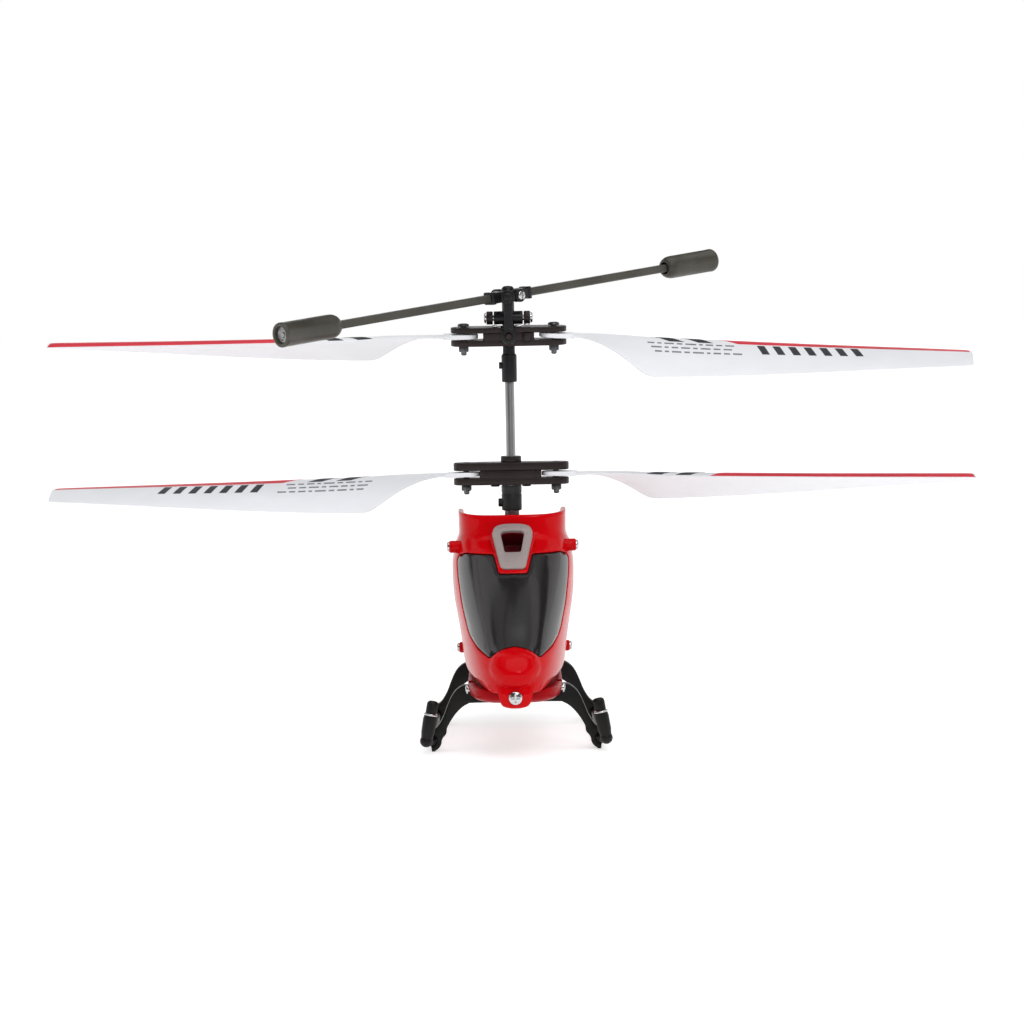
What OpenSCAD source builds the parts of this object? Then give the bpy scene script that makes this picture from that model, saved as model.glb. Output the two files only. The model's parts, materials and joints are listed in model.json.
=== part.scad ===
// Small indoor remote control helicopter with two rotors on one mast and a flybar.
// Every sub-part is drawn with the mast as the Z axis, the nose toward -Y and the skids on z = 0.
// at_mast() then moves it back, so that the origin is under the middle of the whole machine.

/* [Rotors] */
// Distance from the mast to a blade tip
rotor_radius = 94.5; // [92:0.5:96]
// Blade pitch where the blade is widest, in degrees
root_pitch = 20; // [16:1:21]
// Blade pitch at the tip, in degrees
tip_pitch = 9.5; // [7:0.5:12]
// Thickness of a blade
blade_t = 0.9; // [0.8:0.05:1]
// Direction of the lower rotor at rest, in degrees
lower_azimuth = -4; // [-8:1:8]
// Droop of the right upper blade in its loose root, in degrees
upper_right_droop = 3.1; // [0:0.1:3.2]
// Droop of the lower blades in their loose roots, in degrees
lower_droop = 1; // [0:0.1:3]

/* [Flybar] */
// Distance from the mast to the outer end of a flybar weight
flybar_radius = 59.5; // [56:0.5:64]
// Diameter of a flybar weight
weight_d = 4.8; // [4:0.1:5]
// Direction of the flybar at rest, in degrees
flybar_azimuth = 42; // [38:1:46]
// Tilt of the flybar at rest, in degrees
flybar_tilt = 6.5; // [0:0.5:8]

/* [Body] */
// Thickness of the canopy shell
shell_t = 1; // [0.8:0.1:1.2]
// Half of the distance between the skid runners
runner_x = 16.8; // [16.4:0.1:17.4]
// Diameter of a skid runner
runner_d = 2.1; // [1.8:0.1:2.1]
// Distance behind the mast where the tail fin ends
tail_end_y = 168; // [160:1:180]

/* [Drive] */
// Teeth on each rotor gear
gear_teeth = 40; // [40:4:40]
// Teeth on each motor pinion
pinion_teeth = 9; // [9:1:9]
// Gear module
gear_module = 0.3; // [0.3:0.01:0.3]

/* [Hidden] */
$fn = 48;

// Place of the mast along the machine
nose_y = -50;
mast_y = -(nose_y + tail_end_y) / 2;

// Fits
press_gap = 0.02;
run_gap = 0.05;

// Shafts
inner_r = 0.93;
outer_r = 1.5;
outer_bore = inner_r + run_gap;
inner_bottom_z = 12.8;
inner_top_z = 77;
outer_bottom_z = 25;
outer_top_z = 56.5;

// Rotor heads
bolt_x = 9.2;
bolt_r = 0.6;
bolt_hole_r = 0.62;
blade_hole_r = 0.68;
grip_half_w = 3;
flybar_z = 89.2;
feather_z = 84.7;
grip_tilt = flybar_tilt * sin(flybar_azimuth);
upper_blade_z = 81.05;
lower_blade_z = 52.85;
post_r = 1.2;
stud_y = 4.4;
stud_r = 0.6;
link_hole_r = 0.8;
stud_drop = 3.4;
teeter_r = 0.5;
hub_hole_r = 1.9;
hub_boss_y = 4;
weight_in = flybar_radius - 13.9;
rod_in = 3.45;
rod_out = weight_in + 4.3;
slug_in = weight_in + 5.05;
slug_out = flybar_radius - 0.4;

// Drive train
gear_pitch_r = gear_teeth * gear_module / 2;
pinion_pitch_r = pinion_teeth * gear_module / 2;
motor_y = gear_pitch_r + pinion_pitch_r;
motor_r = 3.5;
inner_gear_z = 15.5;
outer_gear_z = 35;
gear_h = 2;
pinion_h = 3.2;
motor_shaft_r = 0.4;

// Frame
plate_x = 6.9;
plate_t = 0.8;
tray_top_z = 13.5;
board_z = 19.66;

// Skids
runner_z = 2.15;
strut_y = [-28, 12];
strut_t = 3;

// Tail
boom_r = 1.5;
boom_z = 20;
tail_motor_y = 138;
tail_motor_r = 2.2;

module at_mast() {
    translate([0, mast_y, 0]) children();
}

module both_sides() {
    children();
    mirror([1, 0, 0]) children();
}

// A cylinder along X, from x0 to x1, at y and z
module x_rod(x0, x1, y, z, r) {
    translate([x0, y, z]) rotate([0, 90, 0]) cylinder(h = x1 - x0, r = r);
}

// A cylinder along Y, from y0 to y1, at x and z
module y_rod(y0, y1, x, z, r) {
    translate([x, y0, z]) rotate([-90, 0, 0]) cylinder(h = y1 - y0, r = r);
}

// A box from its lowest to its highest corner
module block(low, high) {
    translate(low) cube(high - low);
}

// An outline in X and Z, pushed from y0 to y1
module front_outline(y0, y1) {
    translate([0, y1, 0]) rotate([90, 0, 0]) linear_extrude(y1 - y0) children();
}

// An outline in Y and Z, pushed from x0 to x1
module side_outline(x0, x1) {
    translate([x0, 0, 0]) rotate([90, 0, 90]) linear_extrude(x1 - x0) children();
}

// ---- Smooth curves ----

// One value on a Catmull-Rom curve, with t from 0 to 1 between b and c
function blend4(a, b, c, d, t) =
    b + t * (c - a) / 2 + t * t * (a - 2.5 * b + 2 * c - d / 2) + t * t * t * (-a + 3 * b - 3 * c + d) / 2;

// A smooth path through the points, with the given number of steps between each pair
function smooth_path(pts, steps) = concat(
    [for (i = [0:len(pts) - 2]) for (s = [0:steps - 1])
        blend4(pts[max(i - 1, 0)], pts[i], pts[i + 1], pts[min(i + 2, len(pts) - 1)], s / steps)],
    [pts[len(pts) - 1]]
);

function mirrored(pts) = [for (i = [len(pts) - 1:-1:0]) [-pts[i][0], pts[i][1]]];

// ---- Canopy form ----

canopy_top_z = 44.7;
lobe_z = 18.3;

// Half width of the canopy at a height
function canopy_w(z) = lookup(z, [[12, 8.6], [13.6, 9.3], [16, 10.2], [20, 10.8], [24, 11.5], [28, 12.2],
    [31, 12.45], [34, 12.5], [36.4, 12.25], [38.5, 11.8], [41, 11], [canopy_top_z, 11.05]]);

// Front of the canopy on the centre line at a height
function canopy_front(z) = lookup(z, [[12, -46.5], [14, -48.6], [17, -48.8], [20, -46.6], [22, -43],
    [26, -36.4], [30, -29.6], [34, -22.6], [37.6, -16], [39.2, -12], [40.4, -9.6], [41.4, -9],
    [canopy_top_z, -8.6]]);

// Widest station and rear edge of the canopy at a height
function canopy_mid(z) = lookup(z, [[13, 2], [20, 6], [30, 8], [canopy_top_z, 8]]);
function canopy_rear(z) = lookup(z, [[13, 4], [20, 10], [33, 21], [38, 16], [canopy_top_z, 8.5]]);

// Squareness of the plan section, as the power of a superellipse
function canopy_power(z) = lookup(z, [[13, 2.6], [24, 2.5], [36, 2.6], [41, 3.6], [canopy_top_z, 4]]);

// How far the wall runs along Y for one millimetre of its thickness
function front_stretch(z) = sqrt(1 + pow(canopy_front(z + 0.6) - canopy_front(z - 0.6), 2) / 1.44);

function signed_pow(v, p) = sign(v) * pow(abs(v), p);

// The round swelling on the nose, as a push along -Y
function nose_lobe(x, z) = 1.5 * sqrt(max(0, 1 - pow(x / 4.9, 2) - pow((z - lobe_z) / 3.6, 2)));

// One plan point of the canopy: d is the depth under the skin, and a runs from -90 to 90 with the nose at 0
function canopy_point(z, a, d) =
    let (
        e = 2 / canopy_power(z),
        mid = canopy_mid(z),
        reach = mid - canopy_front(z) - d * front_stretch(z),
        x = (canopy_w(z) - d) * signed_pow(sin(a), e)
    )
    [x, mid - reach * pow(max(cos(a), 0), e) - nose_lobe(x, z), z];

function canopy_end(z, side, d) =
    [side * (canopy_w(z) - d - 0.06 * (canopy_rear(z) - canopy_mid(z))), canopy_rear(z), z];

arc_steps = 13;
function canopy_line(z, d) = concat(
    [canopy_end(z, -1, d)],
    [for (i = [-arc_steps:arc_steps]) canopy_point(z, 90 * i / arc_steps, d)],
    [canopy_end(z, 1, d)]
);

canopy_levels = [13.6, 14.6, 15.6, 16.6, 17.8, 19, 20.2, 21.4, 22.6, 24.5, 27, 30, 33, 35.5, 37.6,
    39.2, 40.4, 41.4, 43.2, canopy_top_z];

// The skin between two depths, as one closed solid
module canopy_skin(depth_out, depth_in) {
    n = 2 * arc_steps + 3;
    rows = len(canopy_levels);
    points = [for (z = canopy_levels)
        for (p = concat(canopy_line(z, depth_out), [for (i = [n - 1:-1:0]) canopy_line(z, depth_in)[i]])) p];
    m = 2 * n;
    walls = [for (r = [0:rows - 2]) for (i = [0:m - 1])
        each [
            [r * m + i, (r + 1) * m + i, (r + 1) * m + (i + 1) % m],
            [r * m + i, (r + 1) * m + (i + 1) % m, r * m + (i + 1) % m]
        ]];
    top = (rows - 1) * m;
    floor_faces = [for (i = [0:n - 2]) [i, i + 1, m - 2 - i, m - 1 - i]];
    roof_faces = [for (i = [0:n - 2]) [top + m - 1 - i, top + m - 2 - i, top + i + 1, top + i]];
    polyhedron(points = points, faces = concat(walls, floor_faces, roof_faces), convexity = 8);
}

// Front view of the windscreen, right half from the notch round to the nose
windscreen_half = [[2.9, 34.2], [3.9, 37.6], [9.5, 37.6], [10.9, 37.1], [11.4, 35.8], [11.2, 33], [10.4, 28],
    [9.3, 23.9], [8.7, 22.6], [7.2, 20.9], [4.95, 19.7], [3.9, 20.65], [2.5, 21.4], [0, 21.9]];

module windscreen_outline(grow) {
    offset(delta = grow) polygon(concat(windscreen_half, mirrored(windscreen_half)));
}

// The sloping plane of the intake bezel: its top and bottom on the centre line
bezel_top = [-9.83, 42.7];
bezel_bottom = [-20.03, 34.4];
bezel_slope = atan2(bezel_top[1] - bezel_bottom[1], bezel_top[0] - bezel_bottom[0]);
bezel_length = norm(bezel_top - bezel_bottom);
bezel_half = [[2.45, 0], [4.15, 10.6], [3.6, 12.4], [2.2, 13.1], [0, bezel_length + 0.1]];
intake_half = [[1.6, 4.9], [2.35, 10.3], [1.9, 11], [0, 11.2]];

module in_bezel_plane() {
    translate([0, bezel_bottom[0], bezel_bottom[1]]) rotate([bezel_slope, 0, 0]) children();
}

module half_outline(half) {
    polygon(concat(half, mirrored(half)));
}

module canopy() {
    color("crimson") {
        difference() {
            union() {
                canopy_skin(0, shell_t);
                intersection() {
                    in_bezel_plane() translate([0, 0, -7]) linear_extrude(6.9)
                        polygon([[-3.3, -1], [3.3, -1], [5, 11], [3.6, 13.2], [-3.6, 13.2], [-5, 11]]);
                    block([-6, -24, 33], [6, -8.6, 43.8]);
                }
            }
            front_outline(-60, -3) windscreen_outline(0);
            in_bezel_plane() translate([0, 0, -9]) linear_extrude(12) half_outline(intake_half);
            in_bezel_plane() translate([0, 0, -press_gap]) linear_extrude(4) offset(delta = press_gap)
                half_outline(bezel_half);
            both_sides() x_rod(8, 14, -4, 38.4, 0.55);
            both_sides() x_rod(7, 14, 0, 17.4, 0.55);
        }
        chin_lug();
        both_sides() canopy_boss(-4, 38.4, 9.9, 12.9, 1.3);
        both_sides() canopy_boss(0, 17.4, 9.6, 11.3, 1.2);
    }
}

// A round boss on the side of the canopy, bored for its screw
module canopy_boss(y, z, x0, x1, r) {
    difference() {
        x_rod(x0, x1, y, z, r);
        x_rod(x0 - 1, x1 + 1, y, z, 0.55);
    }
}

// The lug under the nose that holds the front screw
module chin_lug() {
    lug = [[-3.9, 14.9], [-3.6, 13], [-3.1, 11.6], [-2, 10.9], [0, 10.75],
        [2, 10.9], [3.1, 11.6], [3.6, 13], [3.9, 14.9]];
    difference() {
        front_outline(-48.9, -46.4) polygon(lug);
        y_rod(-50, -46, 0, 12.7, 0.62);
    }
}

module windscreen() {
    color([0.08, 0.08, 0.09]) intersection() {
        canopy_skin(0.12, shell_t - 0.1);
        front_outline(-60, -3) windscreen_outline(-0.08);
    }
}

module intake_bezel() {
    color("rosybrown") difference() {
        in_bezel_plane() linear_extrude(0.9) half_outline(bezel_half);
        in_bezel_plane() translate([0, 0, -1]) linear_extrude(3) half_outline(intake_half);
    }
}

// Plan of the belly tray, shrunk by d
function tray_plan(d) = concat(
    [[-9.3 + d, 15]],
    [for (a = [-90:10:90]) [(9.3 - d) * signed_pow(sin(a), 0.5), -20 - (23 - d) * pow(max(cos(a), 0), 0.5)]],
    [[9.3 - d, 15]]
);

module belly_tray() {
    color("darkred") difference() {
        union() {
            translate([0, 0, 11.3]) linear_extrude(tray_top_z - 11.3) polygon(tray_plan(0));
            translate([0, 0, 10.6]) linear_extrude(0.8) polygon(tray_plan(0.7));
            block([-2.6, -42, 13], [2.6, -39.6, 21]);
        }
        translate([0, 0, 12.2]) linear_extrude(5) polygon([[-6, -37], [6, -37], [6, -14], [-6, -14]]);
        y_rod(-50, -39, 0, 18.6, 1.5 + press_gap);
        translate([0, 0, 10]) cylinder(h = 5, r = 2.4);
        both_sides() for (y = strut_y) x_rod(7, 10, y - strut_t / 2 - 1.1, 12.35, 0.52);
        y_rod(-45, -40, 0, 12.7, 0.62);
    }
}

module canopy_screws() {
    color("silver") both_sides() {
        side_screw(12.9, 9, -4, 38.4, 1.15);
        side_screw(11.3, 8.2, 0, 17.4, 0.95);
    }
}

// A cross-head screw along X: its head sits on x_seat and its shank ends at x_end
module side_screw(x_seat, x_end, y, z, head_r) {
    x_rod(x_end, x_seat, y, z, 0.5);
    difference() {
        x_rod(x_seat, x_seat + 0.55, y, z, head_r);
        block([x_seat + 0.3, y - 0.15, z - 0.8 * head_r], [x_seat + 1, y + 0.15, z + 0.8 * head_r]);
        block([x_seat + 0.3, y - 0.8 * head_r, z - 0.15], [x_seat + 1, y + 0.8 * head_r, z + 0.15]);
    }
}

module nose_screw() {
    color("silver") {
        y_rod(-48.9, -40.4, 0, 12.7, 0.6);
        difference() {
            y_rod(-49.6, -48.9, 0, 12.7, 1.42);
            block([-0.22, -50, 11.6], [0.22, -49.2, 13.8]);
            block([-1.1, -50, 12.48], [1.1, -49.2, 12.92]);
        }
    }
}

// ---- Frame ----

side_profile = [[-13, 14], [-13, 28], [-4.5, 41.5], [-4.5, 43], [8, 43], [15, 34], [26, 26], [26, 14]];

module side_plate(side) {
    windows = [[[-10, 18], [-10, 27], [-5, 27], [-5, 18]], [[9, 22], [9, 30], [13, 30], [15, 26], [15, 22]]];
    x0 = side > 0 ? plate_x : -plate_x - plate_t;
    color("dimgray") difference() {
        side_outline(x0, x0 + plate_t) polygon(side_profile);
        for (w = windows) side_outline(x0 - 1, x0 + plate_t + 1) polygon(w);
        for (p = frame_screw_spots) x_rod(x0 - 1, x0 + plate_t + 1, p[0], p[1], 0.62);
        if (side > 0) block([x0 - 1, 11.35, 15.35], [x0 + 2, 16.65, 20.15]);
        if (side < 0) block([x0 - 1, 15.95, 15.35], [x0 + 2, 23.05, 19.65]);
    }
}

module side_plate_left() side_plate(-1);
module side_plate_right() side_plate(1);

// Frame screw places in Y and Z: top deck, motor block and boom clamp
frame_screw_spots = [[0, 42], [0, 26.5], [21.5, 23.9]];

module frame_screws() {
    color("silver") both_sides() {
        for (p = frame_screw_spots) side_screw(plate_x + plate_t, plate_x - 1.9, p[0], p[1], 1);
        for (y = strut_y) side_screw(9.32, 7.2, y - strut_t / 2 - 1.1, 12.35, 0.95);
    }
}

module top_deck() {
    color("dimgray") difference() {
        block([-plate_x + press_gap, -5.4, 41], [plate_x - press_gap, 6, 43]);
        translate([0, 0, 40]) cylinder(h = 4, r = 2.6 + press_gap);
        both_sides() x_rod(4.5, 8, 0, 42, 0.52);
        both_sides() for (y = [-3.4, 4]) translate([4.4, y, 40]) cylinder(h = 4, r = 1.1);
    }
}

module motor_block() {
    color("dimgray") difference() {
        block([-plate_x + press_gap, -11.6, 24], [plate_x - press_gap, 11.6, 29]);
        for (s = [-1, 1]) translate([0, s * motor_y, 23]) cylinder(h = 7, r = motor_r + press_gap);
        translate([0, 0, 23]) cylinder(h = 7, r = 2.2 + press_gap);
        both_sides() x_rod(4.5, 8, 0, 26.5, 0.52);
    }
}

module bottom_deck() {
    color("dimgray") difference() {
        block([-plate_x + press_gap, -11, tray_top_z + 0.02], [plate_x - press_gap, 15, 14.8]);
        translate([0, 0, 13]) cylinder(h = 3, r = 1.9 + press_gap);
        translate([0, -motor_y, 13]) cylinder(h = 3, r = 1.9);
    }
}

// A flanged bush from z0 up, h high
module bush(z0, h, r_out, r_in, flange) {
    translate([0, 0, z0]) difference() {
        union() {
            cylinder(h = h, r = r_out);
            translate([0, 0, h]) cylinder(h = 0.4, r = r_out + flange);
        }
        translate([0, 0, -1]) cylinder(h = h + 3, r = r_in);
    }
}

module shaft_bearings() {
    color("goldenrod") {
        bush(tray_top_z + 0.02, 1.28, 1.9, outer_bore, 0.3);
        bush(24, 5, 2.2, outer_r + run_gap, 0.5);
        bush(41, 2, 2.6, outer_r + run_gap, 0.5);
    }
}

// A motor with its can from z0 to z1; its shaft leaves at the top or at the bottom
module motor(y, z0, z1, up) {
    translate([0, y, 0]) difference() {
        union() {
            translate([0, 0, z0]) cylinder(h = z1 - z0, r = motor_r);
            translate([0, 0, up ? z1 : z0 - 0.4]) cylinder(h = 0.4, r = 1.2);
        }
        translate([0, 0, up ? z1 - 3 : z0 - 1]) cylinder(h = 4, r = motor_shaft_r + run_gap);
    }
}

module motor_front() color("silver") motor(-motor_y, 19.2, 34, false);
module motor_rear() color("silver") motor(motor_y, 18.4, 33.4, true);

module battery() {
    color("lightgray") hull() both_sides() for (y = [-35.5, -15.5]) for (z = [13.45, 18.4])
        translate([4.3, y, z]) sphere(r = 1.2, $fn = 24);
}

module receiver_board() {
    color("darkgreen") difference() {
        block([-6, -33, board_z], [6, -13.6, board_z + 0.8]);
        both_sides() for (y = [-31.5, -15]) translate([4.8, y, 19]) cylinder(h = 3, r = 0.6);
    }
}

// Each chip: centre in X and Y, size in X, Y and Z
chips = [[-2, -27, 4, 4, 0.9], [3, -28, 2.2, 3, 0.8], [-2.6, -20, 3.4, 2.4, 0.9], [2.8, -21, 2, 2, 1.1],
    [3, -17, 2.6, 1.6, 0.7], [0, -23.6, 3, 1.4, 0.6]];

module board_chips() {
    color([0.12, 0.12, 0.12]) {
        for (c = chips) translate([c[0] - c[2] / 2, c[1] - c[3] / 2, board_z + 0.82])
            cube([c[2], c[3], c[4]]);
        translate([0, -31, board_z + 0.82]) cylinder(h = 3.2, r = 1.5);
    }
}

module nose_led() {
    color("white") {
        y_rod(-44, -39.2, 0, 18.6, 1.5);
        translate([0, -44, 18.6]) sphere(r = 1.5);
    }
}

module charge_socket() {
    color([0.1, 0.1, 0.1]) difference() {
        block([4.2, 11.5, 15.5], [9.4, 16.5, 20]);
        x_rod(5.4, 12, 14, 17.75, 1.25);
    }
}

// Slide switch: the slot runs along Y, and the knob rests at its front end
switch_slot = [17.2, 21.8];

module switch_body() {
    color([0.1, 0.1, 0.1]) difference() {
        block([-9.2, 16.1, 15.5], [-5.6, 22.9, 19.5]);
        block([-10, switch_slot[0], 16.8], [-7.6, switch_slot[1], 18.2]);
    }
}

module switch_knob() {
    color("white") {
        block([-9.3, switch_slot[0] + 0.15, 16.95], [-7.8, switch_slot[0] + 2.15, 18.05]);
        difference() {
            block([-10.2, switch_slot[0] + 0.15, 16.95], [-9.3, switch_slot[0] + 2.15, 18.05]);
            for (y = [0.6, 1.15, 1.7]) y_ridge(switch_slot[0] + y);
        }
    }
}

module y_ridge(y) {
    block([-10.4, y - 0.12, 16], [-10, y + 0.12, 19]);
}

// ---- Landing skids ----

// Upper and lower edge of a strut's right half, in X and Z
strut_top = [[8.9, 12.9], [10.3, 12.9], [11.7, 12], [12.7, 10.6], [13.5, 8.8], [14.3, 6.8], [15.6, 4.9],
    [17, 4.35]];
strut_low = [[14.7, 1.6], [14.4, 2.7], [13.7, 3.4], [13.6, 4.4], [13, 5.7], [11.9, 7.3], [10.6, 8.6],
    [9.4, 9.3], [8.2, 9.5], [0, 9.5]];

module strut_outline() {
    difference() {
        union() {
            polygon(concat([[0, 10.55], [8.9, 10.55]], smooth_path(strut_top, 4),
                [[runner_x, runner_z]], smooth_path(strut_low, 4)));
            translate([runner_x, runner_z]) circle(r = 2.2);
            translate([runner_x - 1.5, 0]) square([1.7, 1.2]);
        }
        translate([runner_x, runner_z]) circle(r = runner_d / 2 + 0.03);
        translate([runner_x, -3]) square([5, 3]);
        translate([runner_x - 5, -3]) square([10, 3]);
        polygon([[runner_x, runner_z], [runner_x + 0.25, -1], [runner_x + 4, -1], [runner_x + 4, runner_z + 1.6]]);
    }
}

module strut(y) {
    color([0.1, 0.1, 0.1]) difference() {
        both_sides() front_outline(y - strut_t / 2, y + strut_t / 2) strut_outline();
        both_sides() block([8, y - 2, 10.57], [9.33, y + 2, 14]);
    }
}

module front_strut() strut(strut_y[0]);
module rear_strut() strut(strut_y[1]);

// The runner ends behind the toe, and a short slanted rod leads up to the toe's ball
runner_front_y = -29.7;
toe = [runner_x + 0.8, -33.5, 2.7];
toe_lean = 11;
toe_boot_h = 5;
toe_pin_r = 0.7;

module in_toe() {
    translate(toe) rotate([0, -toe_lean, 0]) children();
}

// A cylinder from one point to another
module rod_between(start, end, r) {
    way = end - start;
    translate(start) rotate([0, acos(way[2] / norm(way)), atan2(way[1], way[0])])
        cylinder(h = norm(way), r = r);
}

module runner() {
    color([0.1, 0.1, 0.1]) {
        y_rod(runner_front_y, 24, runner_x, runner_z, runner_d / 2);
        translate([runner_x, runner_front_y, runner_z]) sphere(r = runner_d / 2);
        translate([runner_x, 24, runner_z]) sphere(r = runner_d / 2);
        rod_between([runner_x, runner_front_y, runner_z], toe, 0.9);
        translate(toe) sphere(r = 1.25);
        in_toe() cylinder(h = toe_boot_h, r = 1.35);
        in_toe() cylinder(h = toe_boot_h + 1.5, r = toe_pin_r);
    }
}

module runner_right() runner();
module runner_left() mirror([1, 0, 0]) runner();

module toe_caps() {
    both_sides() in_toe() {
        color("silver") translate([0, 0, toe_boot_h + 0.02]) difference() {
            cylinder(h = 0.5, r = 1.35);
            translate([0, 0, -1]) cylinder(h = 2, r = toe_pin_r + press_gap);
        }
        color([0.1, 0.1, 0.1]) translate([0, 0, toe_boot_h + 0.54]) difference() {
            union() {
                cylinder(h = 2.05, r = 1.1);
                translate([0, 0, 2.05]) cylinder(h = 0.4, r1 = 1.1, r2 = 0.7);
            }
            translate([0, 0, -1]) cylinder(h = 2.2, r = toe_pin_r + press_gap);
        }
    }
}

// ---- Tail ----

module boom_clamp() {
    color("dimgray") difference() {
        block([-plate_x + press_gap, 17.6, 15], [plate_x - press_gap, 25.8, 24.8]);
        y_rod(18.6, 30, 0, boom_z, boom_r + press_gap);
        both_sides() x_rod(4.5, 8, 21.5, 23.9, 0.52);
        both_sides() rod_between(rod_point(-0.1), rod_point(0.1), 0.62);
        block([-8, 15, 14], [-5.4, 23.2, 20]);
    }
}

module tail_boom() {
    color([0.15, 0.15, 0.15]) y_rod(18.7, tail_motor_y - 2.7, 0, boom_z, boom_r);
}

// The rods run from the boom clamp to the stabiliser's ears
rod_start = [5, 24, 16.6];
rod_end = [3.1, 116, 18.6];

// A point of the rod's line, at a share of its length from the clamp
function rod_point(share) = rod_start + share * (rod_end - rod_start);

module boom_struts() {
    color([0.2, 0.2, 0.2]) both_sides() rod_between(rod_start, rod_end, 0.6);
}

module tail_stabiliser() {
    color("crimson") difference() {
        union() {
            translate([0, 0, boom_z - 0.4]) linear_extrude(0.8)
                polygon([[-13, 124], [-13, 118], [-3, 112], [3, 112], [13, 118], [13, 124], [3, 126], [-3, 126]]);
            y_rod(112, 126, 0, boom_z, 2.3);
            both_sides() block([1.5, 114.5, 17.6], [4.1, 118.5, 20]);
        }
        y_rod(110, 128, 0, boom_z, boom_r + press_gap);
        both_sides() rod_between(rod_point(0.92), rod_end, 0.62);
    }
}

module tail_fin() {
    color("crimson") difference() {
        side_outline(-0.4, 0.4)
            polygon(smooth_path([[141.4, 18.4], [142, 22.4], [152, 24.6], [158, 31], [162.5, 37.4], [166, 38.4],
                [tail_end_y, 36.6], [165.2, 24], [161, 11], [157, 8.6], [149, 12], [141.4, 18.4]], 4));
        side_outline(-1, 1) translate([152, 18.5]) circle(r = 2);
    }
}

module tail_motor() {
    color("silver") translate([0, tail_motor_y, 0]) difference() {
        union() {
            translate([0, 0, 16.6]) cylinder(h = 8, r = tail_motor_r);
            translate([0, 0, 24.6]) cylinder(h = 0.3, r = 0.9);
        }
        translate([0, 0, 22]) cylinder(h = 4, r = motor_shaft_r + run_gap);
    }
}

module tail_motor_housing() {
    color([0.1, 0.1, 0.1]) difference() {
        union() {
            translate([0, tail_motor_y, 17.4]) cylinder(h = 5.8, r = 3.1);
            y_rod(128, tail_motor_y - 1, 0, boom_z, 2.3);
            block([-1, tail_motor_y + 1, 18.2], [1, 143, 22.2]);
        }
        translate([0, tail_motor_y, 10]) cylinder(h = 20, r = tail_motor_r + press_gap);
        y_rod(127, tail_motor_y - 2.66, 0, boom_z, boom_r + press_gap);
        block([-0.42, 140.8, 17], [0.42, 145, 24]);
    }
}

module tail_rotor() {
    color([0.1, 0.1, 0.1]) translate([0, tail_motor_y, 0]) {
        translate([0, 0, 22.4]) cylinder(h = 4, r = motor_shaft_r);
        translate([0, 0, 25.2]) cylinder(h = 2, r = 1.3);
        for (turn = [0, 180]) rotate(turn) prop_blade(1.2, 13);
    }
}

// A small twisted blade along X from r0 to r1, as a closed strip of sections
module prop_blade(r0, r1) {
    stations = [0, 0.15, 0.4, 0.7, 0.9, 1];
    chord = [1, 2.6, 3.6, 3.2, 2.4, 1.2];
    pitch = [30, 28, 22, 16, 13, 12];
    points = [for (i = [0:len(stations) - 1]) for (c = [[-0.5, -0.25], [0.5, -0.25], [0.5, 0.25], [-0.5, 0.25]])
        [r0 + stations[i] * (r1 - r0),
            c[0] * chord[i] * cos(pitch[i]) - c[1] * sin(pitch[i]),
            26.2 + c[0] * chord[i] * sin(pitch[i]) + c[1] * cos(pitch[i])]];
    strip(points, 4, len(stations));
}

// A closed solid through rings of n points each, in order along its length
module strip(points, n, rings) {
    last = (rings - 1) * n;
    polyhedron(points = points, convexity = 4, faces = concat(
        [[for (i = [0:n - 1]) i]],
        [for (r = [0:rings - 2]) for (i = [0:n - 1]) each [
            [r * n + i, (r + 1) * n + i, (r + 1) * n + (i + 1) % n],
            [r * n + i, (r + 1) * n + (i + 1) % n, r * n + (i + 1) % n]]],
        [[for (i = [n - 1:-1:0]) last + i]]
    ));
}

// ---- Drive ----

// A spur gear's outline with straight-flanked teeth
module gear_outline(teeth, turn) {
    pitch_r = teeth * gear_module / 2;
    tip_r = pitch_r + 0.85 * gear_module;
    root_r = pitch_r - 1.2 * gear_module;
    half_tip = 0.09 / tip_r * 180 / PI;
    half_root = 0.27 / root_r * 180 / PI;
    polygon([for (i = [0:teeth - 1]) let (a = 360 * i / teeth + turn) each [
        root_r * [cos(a - half_root), sin(a - half_root)],
        tip_r * [cos(a - half_tip), sin(a - half_tip)],
        tip_r * [cos(a + half_tip), sin(a + half_tip)],
        root_r * [cos(a + half_root), sin(a + half_root)]]]);
}

module rotor_gear(z0, hub_z, hub_h, hub_r, bore_r) {
    difference() {
        union() {
            translate([0, 0, z0]) linear_extrude(gear_h) gear_outline(gear_teeth, 0);
            translate([0, 0, hub_z]) cylinder(h = hub_h, r = hub_r);
        }
        translate([0, 0, hub_z - 10]) cylinder(h = 30, r = bore_r);
        for (a = [30:60:330]) rotate(a) translate([3.9, 0, z0 - 1]) cylinder(h = gear_h + 2, r = 0.9);
    }
}

module outer_gear() color("ivory") rotor_gear(outer_gear_z, outer_gear_z, 4.4, 2.6, outer_r + press_gap);
module inner_gear() color("ivory") rotor_gear(inner_gear_z, inner_gear_z, 4, 2.2, inner_r + press_gap);

module pinion(y, z_gear, z_shaft, shaft_h, turn) {
    color("gold") translate([0, y, 0]) {
        translate([0, 0, z_gear]) linear_extrude(pinion_h) gear_outline(pinion_teeth, turn);
        translate([0, 0, z_shaft]) cylinder(h = shaft_h, r = motor_shaft_r);
    }
}

module pinion_rear() pinion(motor_y, 34.2, 31, 6, 10);
module pinion_front() pinion(-motor_y, 15.1, 16, 6, 30);

module outer_shaft() {
    color("silver") difference() {
        translate([0, 0, outer_bottom_z]) cylinder(h = outer_top_z - outer_bottom_z, r = outer_r);
        translate([0, 0, outer_bottom_z - 1]) cylinder(h = outer_top_z - outer_bottom_z + 2, r = outer_bore);
    }
}

module inner_shaft() {
    color("silver") translate([0, 0, inner_bottom_z]) cylinder(h = inner_top_z - inner_bottom_z, r = inner_r);
}

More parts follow.
